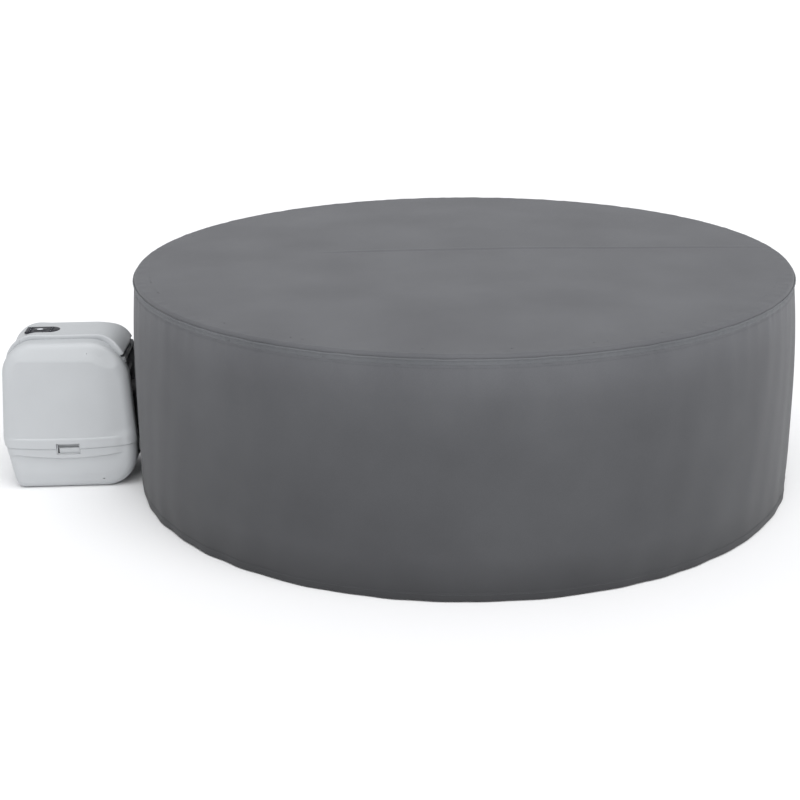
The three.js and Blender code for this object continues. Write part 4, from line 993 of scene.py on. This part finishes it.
def chains(top, inset, rows):
    """For each height in rows, the left and right points of the outline moved in by inset, with their
    outward normals. The outline is followed as one dense closed line."""
    points, normal = traced(side_outline(top), 400)
    points = (points - normal * inset)
    corner = lambda first, *rest: (np.concatenate([points[i] for i in (first, *rest)]),
                                   np.concatenate([normal[i] for i in (first, *rest)]))
    right, right_n = corner(1, 2, 3)
    left, left_n = corner(4, 5, 0)
    left, left_n = left[::-1], left_n[::-1]
    found = []
    for line, out in ((left, left_n), (right, right_n)):
        z = np.maximum.accumulate(line[:, 1] + np.arange(len(line)) * 1e-12)
        x = np.interp(rows, z, line[:, 0])
        n = np.stack([np.interp(rows, z, out[:, 0]), np.interp(rows, z, out[:, 1])], axis=-1)
        found.append((x, n / np.linalg.norm(n, axis=1, keepdims=True)))
    return found


def blend_step(value, low, high):
    """0 below low, 1 above high, and a smooth S between them."""
    t = np.clip((value - low) / (high - low), 0, 1)
    return t * t * (3 - 2 * t)


def side_relief(x, z):
    """How far the side face stands out of the plain side: it leans in above the shoulder crease, draws in
    towards the rear, and carries a ledge over the parting line and a hollow below the smile line."""
    crease = 0.4055 - 0.024 * blend_step(x, 0.080, 0.150) - 0.002 * x / 0.1
    over = np.clip(z - crease, 0, None)
    lean = -LEAN * (over - 0.003 * (1 - np.exp(-over / 0.003)))
    rear = -0.0065 * blend_step(x, 0.095, 0.185) ** 1.5 * blend_step(z, 0.150, 0.190)
    front = -0.0030 * blend_step(-x, 0.145, 0.185)
    ends = blend_step(x, -0.172, -0.145) * (1 - blend_step(x, 0.145, 0.175))
    ledge = 0.0030 * (1 - blend_step(z, 0.1585, 0.1645)) * ends * blend_step(z, 0.0, 0.05)
    smile = 0.1015 + 0.0085 * np.clip((x - 0.010) / 0.155, -1, 1) ** 2
    hollow = -0.0050 * (1 - blend_step(z, smile - 0.0035, smile)) * ends * blend_step(z, 0.045, 0.098)
    groove = -0.0010 * np.exp(-((z - PART_Z) / 0.0014) ** 2)
    foot = -0.090 * np.clip(0.098 - z, 0, None)
    return lean + rear + front + ledge + hollow + groove + foot


cap_rows = np.unique(np.round(np.concatenate([
    EDGE + 0.072 * (1 - np.cos(np.linspace(0, np.pi / 2, 30))),
    np.linspace(0.094, LATCH[2], 16), np.linspace(LATCH[2], PART_Z - 0.0055, 8),
    np.linspace(PART_Z - 0.0055, PART_Z + 0.0055, 12), np.linspace(PART_Z + 0.0055, LATCH[3], 5),
    np.linspace(LATCH[3], 0.168, 14), np.linspace(0.168, 0.330, 24), np.linspace(0.330, 0.372, 14),
    SHELL_TOP - EDGE - 0.052 * (1 - np.cos(np.linspace(np.pi / 2, 0, 34)))]), 5))
cap_parts = [np.linspace(0, 1, 40), np.linspace(0, 1, 26), np.linspace(0, 1, 40)]
ROUND_STEPS = 10


def case_side(side):
    """One side of the case as two grids: the crowned face, over heights and over a run from the front chain
    to the rear chain, and the band that rounds from the face's border into the middle of the case."""
    (left_x, left_n), (right_x, right_n) = chains(SHELL_TOP, EDGE, cap_rows)
    spans = [left_x, np.full_like(left_x, LATCH[0]), np.full_like(left_x, LATCH[1]), right_x]
    x = np.concatenate([a[:, None] + (b - a)[:, None] * t[None, (1 if i else 0):]
                        for i, (a, b, t) in enumerate(zip(spans[:-1], spans[1:], cap_parts))], axis=1)
    z = np.repeat(cap_rows[:, None], x.shape[1], axis=1)
    out = HALF + side_relief(x, z)
    down, up = np.array([0.0, -1.0]), np.array([0.0, 1.0])
    border = [(x[0, i], z[0, i], out[0, i], down) for i in range(x.shape[1])]
    border += [(x[k, -1], z[k, -1], out[k, -1], right_n[k]) for k in range(1, len(cap_rows))]
    border += [(x[-1, i], z[-1, i], out[-1, i], up) for i in range(x.shape[1] - 2, -1, -1)]
    border += [(x[k, 0], z[k, 0], out[k, 0], left_n[k]) for k in range(len(cap_rows) - 2, 0, -1)]
    bx, bz, bo = (np.array([b[i] for b in border]) for i in range(3))
    bn = np.array([b[3] for b in border])
    phi = np.linspace(0, np.pi / 2, ROUND_STEPS)
    inner_y = HALF - EDGE
    tilt = LEAN * np.clip(bn[:, 1], 0, None) * (bz > 0.30)
    ring_out = inner_y + (bo - inner_y)[None, :] * np.cos(phi)[:, None]
    ring_out -= EDGE * (tilt[None] * (np.sin(phi) * (1 - np.sin(phi)))[:, None])
    ring_x = bx[None, :] + EDGE * bn[None, :, 0] * np.sin(phi)[:, None]
    ring_z = bz[None, :] + EDGE * bn[None, :, 1] * np.sin(phi)[:, None]
    across = np.array([0.106, 0.100, 0.094, 0.0885, 0.088, 0.084, 0.080, 0.076, 0.0724])
    ring_out = np.concatenate([ring_out, np.repeat(across[:, None], len(bx), axis=1)])
    ring_x = np.concatenate([ring_x, np.repeat(ring_x[-1:], len(across), axis=0)])
    ring_z = np.concatenate([ring_z, np.repeat(ring_z[-1:], len(across), axis=0)])
    face = surface("face", np.stack([x + PUMP_X, side * out, z], axis=-1), flip=side > 0)
    band = surface("band", np.stack([ring_x + PUMP_X, side * ring_out, ring_z], axis=-1), round_u=True,
                   flip=side < 0)
    return joined("case_side", face, band)


def trimmed(piece, planes):
    """The piece cut back to one side of each plane. A plane is a point and the direction that is cut off."""
    shape = bmesh.new()
    shape.from_mesh(piece.data)
    for point, off in planes:
        bmesh.ops.bisect_plane(shape, geom=shape.verts[:] + shape.edges[:] + shape.faces[:], dist=1e-6,
                               plane_co=Vector(point), plane_no=Vector(off), clear_outer=True)
    shape.to_mesh(piece.data)
    shape.free()
    return piece


def opened(piece, low, high):
    """The piece with the faces inside a box taken out, cut along the box's sides."""
    low, high = Vector(low), Vector(high)
    shape = bmesh.new()
    shape.from_mesh(piece.data)
    for axis in range(3):
        for bound in (low, high):
            near = [f for f in shape.faces
                    if all(min(v.co[i] for v in f.verts) < high[i] + 1e-6 and
                           max(v.co[i] for v in f.verts) > low[i] - 1e-6 for i in range(3))]
            geom = near + list({e for f in near for e in f.edges}) + list({v for f in near for v in f.verts})
            normal = Vector([float(i == axis) for i in range(3)])
            bmesh.ops.bisect_plane(shape, geom=geom, dist=1e-6, plane_co=bound, plane_no=normal)
    gone = [f for f in shape.faces if all(low[i] < f.calc_center_median()[i] < high[i] for i in range(3))]
    bmesh.ops.delete(shape, geom=gone, context="FACES")
    shape.to_mesh(piece.data)
    shape.free()
    return piece


def copied(piece, name):
    """A second object with its own copy of the mesh."""
    twin = bpy.data.objects.new(name, piece.data.copy())
    bpy.context.scene.collection.objects.link(twin)
    return twin


def bowed(piece):
    """Lifts the case's lower lines towards its front and rear ends, so the parting line is a shallow bow."""
    count = len(piece.data.vertices)
    co = np.zeros(count * 3)
    piece.data.vertices.foreach_get("co", co)
    co = co.reshape(-1, 3)
    reach = np.exp(-((co[:, 2] - PART_Z) / 0.050) ** 2)
    co[:, 2] += 0.010 * ((co[:, 0] - PUMP_X) / 0.2) ** 2 * reach
    piece.data.vertices.foreach_set("co", co.ravel())
    return piece


case_shell = plastic_material("case_shell", (0.500, 0.516, 0.530), 0.40, grain=1300, depth=0.00004,
                              shade=0.965)
WELL = ((PUMP_X + 0.150, -0.088, 0.058), (PUMP_X + 0.300, 0.088, 0.385))
halves = {}
for side, prefix in ((-1, "near"), (1, "far")):
    whole = case_side(side)
    opened(whole, (PUMP_X + LATCH[0], min(side * 0.2, side * 0.1), LATCH[2]),
           (PUMP_X + LATCH[1], max(side * 0.2, side * 0.1), LATCH[3]))
    opened(whole, *WELL)
    lower = copied(whole, "lower")
    trimmed(whole, [((0, 0, PART_Z + 0.0005), (0, 0, -1))])
    halves[prefix] = trimmed(lower, [((0, 0, PART_Z - 0.0005), (0, 0, 1))])
    bowed(whole)
    whole.name = f"{prefix}_side"
    thicken(smooth(whole, 50), CASE_WALL)
    finish(whole, case_shell, "tub", "case_shell", f"{prefix}_side_shell")

# The base closes both sides below the parting line.
points, normal = traced(side_outline(SHELL_TOP), 60)
order = np.concatenate([points[5, 30:], points[0], points[1], points[2, :58]])
floor_band = order[(order[:, 1] < 0.20)]
floor_y = np.linspace(-STRIP_HALF - 0.0004, STRIP_HALF + 0.0004, 16)
base_middle = surface("base_middle", np.stack([
    np.repeat(floor_band[:, :1] + PUMP_X, 16, axis=1), np.repeat(floor_y[None], len(floor_band), axis=0),
    np.repeat(floor_band[:, 1:], 16, axis=1)], axis=-1))
trimmed(base_middle, [((0, 0, PART_Z - 0.0005), (0, 0, 1))])
opened(base_middle, *WELL)
trays = []
for side in (-1, 1):
    x0, x1 = PUMP_X + LATCH[0], PUMP_X + LATCH[1]
    face_y, back_y = side * (HALF + 0.0022), side * (HALF - LATCH_DEPTH)
    depth = np.array([face_y, back_y + side * 0.003, back_y, back_y])
    inward = np.array([0, 0, 0.003, 0.017])
    mouth = [(x0, LATCH[2]), (x1, LATCH[2]), (x1, LATCH[3]), (x0, LATCH[3])]
    loop = softened(mouth, 0.0012, closed=True)[:-1]
    centre = np.array([(x0 + x1) / 2, (LATCH[2] + LATCH[3]) / 2])
    half_size = np.array([(x1 - x0) / 2, (LATCH[3] - LATCH[2]) / 2])
    rings = [centre + (loop - centre) * (half_size - i) / half_size for i in inward]
    grid = np.stack([np.stack([ring[:, 0], np.full(len(ring), y), ring[:, 1]], axis=-1)
                     for ring, y in zip(rings, depth)])
    trays.append(surface("tray", grid, round_u=True, flip=side > 0))
pump_base = joined("pump_tub", halves["near"], halves["far"], base_middle, *trays, weld=2e-4)
outward(bowed(pump_base))
thicken(smooth(pump_base, 50), CASE_WALL)
finish(pump_base, case_shell, "tub", "case_shell", "pump_base")

# ---------------------------------------------------------------- pump case, cowl and top strip
# The cowl and the strip stand 18 mm over the side shells. Their long edges are ridges, and the top between
# the ridges is slightly hollow. The strip ends over the grip pocket at the rear.

STRIP_DEPTH = 0.018
section_y = STRIP_HALF * np.array([-0.997, -0.997, -0.997, -0.988, -0.965, -0.940, -0.895, -0.80, -0.62,
                                   -0.30])
section_in = np.array([STRIP_DEPTH + 0.004, 0.012, 0.0058, 0.0026, 0.0006, 0.0, 0.0008, 0.0028, 0.0044,
                       0.0048])
section_y = np.concatenate([section_y, [0], -section_y[::-1]])
section_in = np.concatenate([section_in, [0.0049], section_in[::-1]])


def over_the_top(name, start, stop, fall):
    """A strip of the middle outline between the points start and stop, given as (x, z), across the section.
    It widens towards the rear. fall is how far each point sinks."""
    points, normal = traced(side_outline(STRIP_TOP), 160)
    line = np.concatenate([points[2, 60:], points[3], points[4], points[5]])
    out = np.concatenate([normal[2, 60:], normal[3], normal[4], normal[5]])
    gaps = np.concatenate([[0], np.cumsum(np.linalg.norm(np.diff(line, axis=0), axis=1))])
    even = np.arange(0, gaps[-1], 0.004)
    line = np.stack([np.interp(even, gaps, line[:, i]) for i in (0, 1)], axis=-1)
    out = np.stack([np.interp(even, gaps, out[:, i]) for i in (0, 1)], axis=-1)
    keep = (line[:, 0] > start[0]) & (line[:, 0] < stop[0]) & (line[:, 1] > start[1]) & (line[:, 1] < stop[1])
    line, out = line[keep], out[keep]
    sink = section_in[None, :] + fall(line[:, :1], line[:, 1:], section_y[None, :] / STRIP_HALF)
    flare = blend_step(line[:, :1], 0.115, 0.190)
    sink[:, [0, -1]] += 0.014 * flare
    grid = line[:, None, :] - out[:, None, :] * sink[..., None]
    across = section_y[None, :] * (1 + 0.42 * flare)
    return surface(name, np.stack([grid[..., 0] + PUMP_X, across, grid[..., 1]], axis=-1))


def strip_fall(x, z, y):
    """Behind the panel the ridges sink a little, and where the strip turns down it is crowned instead of
    hollow. y is the share of the strip's half width."""
    ridges = 0.0040 * blend_step(x, -0.110, -0.020) * np.abs(y) ** 3
    return ridges * (1 - blend_step(x, 0.100, 0.170)) + blend_step(x, 0.085, 0.165) * 0.0080 * (y ** 2 - 1)


top_strip = over_the_top("strip", (-0.140, 0.4115), (0.3, 1), strip_fall)
trimmed(top_strip, [((PUMP_X - 0.1249, 0, 0), (-1, 0, 0))])
outward(top_strip)
thicken(smooth(top_strip, 50), CASE_WALL)
finish(top_strip, case_shell, "tub", "case_shell", "top_strip")

front_cowl = over_the_top("cowl", (-0.3, PART_Z - 0.010), (-0.110, 1), lambda x, z, y: 0 * x)
trimmed(front_cowl, [((PUMP_X - 0.1251, 0, 0), (1, 0, 0)), ((0, 0, PART_Z + 0.0005), (0, 0, -1))])
outward(bowed(front_cowl))
thicken(smooth(front_cowl, 50), CASE_WALL)
finish(front_cowl, case_shell, "tub", "case_shell", "front_cowl")

# ---------------------------------------------------------------- pump case, rear tray and grip
# The rear is a dark tray set into the case: a deep recess with the three ports, and a pocket for the hand
# under the strip's lip.

well_x, well_y, well_z0, well_z1 = PUMP_X + 0.1504, 0.0874, 0.0585, 0.3845


def socket_tray(name, x_mouth, x_back, y_half, z0, z1, ease):
    """An open tray facing +X: a doubled ring round its mouth, walls that run in to x_back, and a flat back."""
    mouth = [(-y_half, z0), (y_half, z0), (y_half, z1), (-y_half, z1)]
    loop = softened(mouth, ease, steps=9, closed=True)[:-1]
    middle = np.array([0, (z0 + z1) / 2])
    size = np.array([y_half, (z1 - z0) / 2])
    steps = [(x_mouth, 0), (x_mouth, 0), (x_mouth - 0.002, 0.001), (x_back + 0.006, 0.003),
             (x_back + 0.0015, 0.0045), (x_back, 0.009)]
    rings = [(x, middle + (loop - middle) * (size - i) / size) for x, i in steps]
    inner = rings[-1][1]
    rings += [(x_back, middle + (inner - middle) * s) for s in (0.7, 0.35, 0.0)]
    grid = np.stack([np.stack([np.full(len(ring), x), ring[:, 0], ring[:, 1]], axis=-1) for x, ring in rings])
    return surface(name, grid, round_u=True)


def bent_to_rear(piece, inset):
    """Moves the mouth of a rear tray onto the case's rear outline, inset from its surface."""
    (_, _), (rear_x, _) = chains(SHELL_TOP, 0, np.linspace(0.001, 0.455, 200))
    count = len(piece.data.vertices)
    co = np.zeros(count * 3)
    piece.data.vertices.foreach_get("co", co)
    co = co.reshape(-1, 3)
    limit = PUMP_X + np.interp(co[:, 2], np.linspace(0.001, 0.455, 200), rear_x) - inset
    co[:, 0] = np.minimum(co[:, 0], limit)
    piece.data.vertices.foreach_set("co", co.ravel())
    return piece


well_tray = socket_tray("well", PUMP_X + 0.2085, well_x, well_y, well_z0, well_z1, 0.012)
bent_to_rear(well_tray, 0.001)
grip_tray = socket_tray("grip", PUMP_X + 0.1900, PUMP_X + 0.1084, 0.0495, 0.339, 0.409, 0.010)
ribs = [block((well_x - 0.001, y - 0.0015, well_z0 + 0.012), (well_x + 0.008, y + 0.0015, 0.150), 0.0008)
        for y in (-0.072, 0.072)]
rings = []
for node, y, z, r in (("suction_nut", 0.042, 0.105, 0.0262), ("return_nut", -0.042, 0.105, 0.0262),
                      ("air_nut", 0.0, 0.275, 0.0222)):
    collar = softened([(r, well_x - 0.001), (r + 0.008, well_x - 0.001), (r + 0.008, well_x + 0.003),
                       (r, well_x + 0.005)], 0.001, closed=True)
    rings.append(turned("collar", collar, 64, axis="X", middle=(0, y, z)))
outward(well_tray)
outward(grip_tray)
rear_panel = joined("rear_tray", well_tray, *ribs, *rings, weld=1e-6)
rear_plastic = plastic_material("rear_plastic", (0.135, 0.140, 0.150), 0.5)
finish(smooth(rear_panel, 40), rear_plastic, "tub", "dark_plastic", "rear_panel")
thicken(grip_tray, 0.0015)
finish(smooth(grip_tray, 40), rear_plastic, "tub", "dark_plastic")
grip_lip = over_the_top("grip_lip", (0.10, 0.3872), (0.3, 0.440),
                        lambda x, z, y: 0.0010 + 0.0100 * blend_step(z, 0.4065, 0.4085))
outward(grip_lip)
thicken(smooth(grip_lip, 40), CASE_WALL)
lip_plastic = plastic_material("lip_plastic", (0.27, 0.28, 0.29), 0.5)
finish(grip_lip, lip_plastic, "tub", "dark_plastic")

# ---------------------------------------------------------------- control panel
# A gloss black tongue with a straight front and a round rear end is let into the strip. It carries a small
# display behind a clear lens, and six round keys.

PANEL = (-0.118, -0.014, 0.031)
PANEL_TOP = 0.4696
start, end, half_width = PANEL
arc_at = np.radians(np.linspace(-90, 90, 40))
round_end = np.stack([end - half_width + half_width * np.cos(arc_at), half_width * np.sin(arc_at)], axis=1)
tongue = np.concatenate([[(start, half_width)], [(start, -half_width)], round_end])
tongue = softened(tongue, 0.004, steps=5, closed=True)[:-1]
centre = np.array([(start + end) / 2 - 0.006, 0])
steps = [(0.0042, 0.0002), (0.0012, 0.0002), (0.0004, 0.0005), (0.0, 0.0013)]
length = np.linalg.norm(tongue - centre, axis=1, keepdims=True)
rings = [(centre + (tongue - centre) * (1 - inset / length), PANEL_TOP - drop) for drop, inset in steps]
rings += [(centre + (rings[-1][0] - centre) * s, PANEL_TOP) for s in (0.75, 0.5, 0.25, 0.0)]
grid = np.stack([np.stack([ring[:, 0] + PUMP_X, ring[:, 1], np.full(len(ring), z)], axis=-1)
                 for ring, z in rings])
control_panel = joined("panel_tongue", surface("tongue", grid, round_u=True))
outward(control_panel)
gloss_black = plastic_material("gloss_black", (0.012, 0.013, 0.020), 0.22, grain=60, depth=0.00002, scuff=30)
gloss_black.node_tree.nodes["Principled BSDF"].inputs["Specular IOR Level"].default_value = 0.10
finish(smooth(control_panel, 30), gloss_black, "tub", "gloss_black", "control_panel")

lens_low, lens_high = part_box("display_lens")
lens_glow, nodes, links, shader = new_material("display", (0.020, 0.022, 0.028), 0.06)
coordinates = nodes.new("ShaderNodeTexCoord")
place = nodes.new("ShaderNodeMapping")
place.vector_type = "TEXTURE"
place.inputs["Location"].default_value = ((lens_low.x + lens_high.x) / 2 - 0.002, 0.003, 0)
place.inputs["Scale"].default_value = (0.0100, 0.0065, 1)
links.new(coordinates.outputs["Object"], place.inputs["Vector"])
flat = nodes.new("ShaderNodeVectorMath")
flat.operation = "MULTIPLY"
flat.inputs[1].default_value = (1, 1, 0)
links.new(place.outputs["Vector"], flat.inputs[0])
reach = nodes.new("ShaderNodeVectorMath")
reach.operation = "LENGTH"
links.new(flat.outputs[0], reach.inputs[0])
spot = nodes.new("ShaderNodeMapRange")
spot.inputs["From Min"].default_value = 0.86
spot.inputs["From Max"].default_value = 1.02
spot.inputs["To Min"].default_value = 1
spot.inputs["To Max"].default_value = 0
links.new(reach.outputs["Value"], spot.inputs["Value"])
face = nodes.new("ShaderNodeMix")
face.data_type = "RGBA"
face.inputs["A"].default_value = (0.014, 0.015, 0.020, 1)
face.inputs["B"].default_value = (0.82, 0.84, 0.88, 1)
links.new(spot.outputs["Result"], face.inputs["Factor"])
links.new(face.outputs["Result"], shader.inputs["Base Color"])
shader.inputs["Specular IOR Level"].default_value = 0.12
lens = block((lens_low.x, lens_low.y, PANEL_TOP - 0.001), (lens_high.x, lens_high.y, PANEL_TOP + 0.0004),
             0.0003)
lens.name = "display_cover"
finish(smooth(lens), lens_glow, "tub", "gloss_black", "display_lens")

mark_plastic = plastic_material("mark_plastic", (0.55, 0.57, 0.60), 0.35)
for key in ("power", "heater", "timer", "bubbles", "filter", "lock"):
    low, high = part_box(f"button_{key}")
    r = (high.x - low.x) / 2
    top = high.z
    line = [(0, low.z), (r, low.z), (r, top - 0.0009), (r - 0.0003, top - 0.0003), (r - 0.0010, top),
            (r - 0.0016, top - 0.0001), (r - 0.0022, top - 0.0004), (0, top - 0.0006)]
    key_cap = turned(f"key_cap_{key}", line, 48, middle=((low.x + high.x) / 2, (low.y + high.y) / 2, 0))
    finish(key_cap, gloss_black, f"key_{key}", "gloss_black", f"button_{key}")
    dot = [(0, top - 0.0006), (0.0014, top - 0.0006), (0.0014, top - 0.0004), (0, top - 0.0004)]
    mark = turned(f"key_mark_{key}", dot, 24, middle=((low.x + high.x) / 2, (low.y + high.y) / 2, 0))
    finish(mark, mark_plastic, f"key_{key}", "gloss_black")

# ---------------------------------------------------------------- latches and cable gland
# A sprung catch sits low in the recess of each side, nearly flush with the case, with room for a fingertip
# over it. The gland at the far side is where the mains lead leaves the case.

for side, prefix in ((-1, "near"), (1, "far")):
    low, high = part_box(f"{prefix}_latch")
    catch = block((low.x + 0.005, low.y, low.z), (high.x, high.y, high.z - 0.0060), 0.0016)
    catch.name = f"{prefix}_catch_tab"
    finish(smooth(catch), case_shell, f"{prefix}_catch", "pale_plastic", f"{prefix}_latch")

gland_low, gland_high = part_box("cable_gland")
gland_at = ((gland_low.x + gland_high.x) / 2, 0, (gland_low.z + gland_high.z) / 2)
gland_line = softened([(0.004, gland_low.y), (0.009, gland_low.y), (0.009, gland_low.y + 0.0125),
                       (0.014, gland_low.y + 0.0125), (0.014, gland_high.y - 0.003), (0.0115, gland_high.y),
                       (0.004, gland_high.y)], 0.0008, closed=True)
gland = turned("lead_gland", gland_line, 72, axis="X", heading=np.pi / 2, middle=gland_at)
rubber = plastic_material("rubber", (0.022, 0.022, 0.024), 0.75, grain=500, depth=0.0001)
finish(gland, rubber, "tub", "rubber", "cable_gland")

# ---------------------------------------------------------------- inside the pump
# The pump, the heater, the blower and the board are seen only when the case is open. They are bare steel,
# black mouldings, a rubber hose and a green board with printed tracks.

steel, nodes, links, shader = new_material("steel", (0.48, 0.49, 0.50), 0.3, metallic=1)
coordinates = nodes.new("ShaderNodeTexCoord")
stretch = nodes.new("ShaderNodeMapping")
stretch.inputs["Scale"].default_value = (6, 400, 400)
links.new(coordinates.outputs["Object"], stretch.inputs["Vector"])
brush = nodes.new("ShaderNodeTexNoise")
brush.inputs["Scale"].default_value = 1
links.new(stretch.outputs["Vector"], brush.inputs["Vector"])
rough = nodes.new("ShaderNodeMapRange")
rough.inputs["To Min"].default_value = 0.2
rough.inputs["To Max"].default_value = 0.45
links.new(brush.outputs["Fac"], rough.inputs["Value"])
links.new(rough.outputs["Result"], shader.inputs["Roughness"])

board, nodes, links, shader = new_material("board", (0.02, 0.12, 0.06), 0.4)
coordinates = nodes.new("ShaderNodeTexCoord")
tracks = nodes.new("ShaderNodeTexBrick")
tracks.inputs["Scale"].default_value = 60
tracks.inputs["Color1"].default_value = (0.015, 0.105, 0.05, 1)
tracks.inputs["Color2"].default_value = (0.02, 0.13, 0.065, 1)
tracks.inputs["Mortar"].default_value = (0.10, 0.20, 0.08, 1)
tracks.inputs["Mortar Size"].default_value = 0.03
links.new(coordinates.outputs["Object"], tracks.inputs["Vector"])
links.new(tracks.outputs["Color"], shader.inputs["Base Color"])

INSIDE = {"pump_motor": steel, "heater_tube": steel, "blower_motor": steel, "transfer_hose": rubber,
          "pump_volute": dark_plastic, "blower_housing": dark_plastic, "impeller": pale_plastic,
          "blower_fan": pale_plastic, "circuit_board": board}
for node, material in INSIDE.items():
    cad[node].data.materials.clear()
    cad[node].data.materials.append(material)

# ---------------------------------------------------------------- size and table
# The CAD's box and the finished model's box are set side by side in one table.

sizes = {"cad": [list(map(float, corner)) for corner in cad_bounds],
         "visual": [list(map(float, corner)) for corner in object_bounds()]}
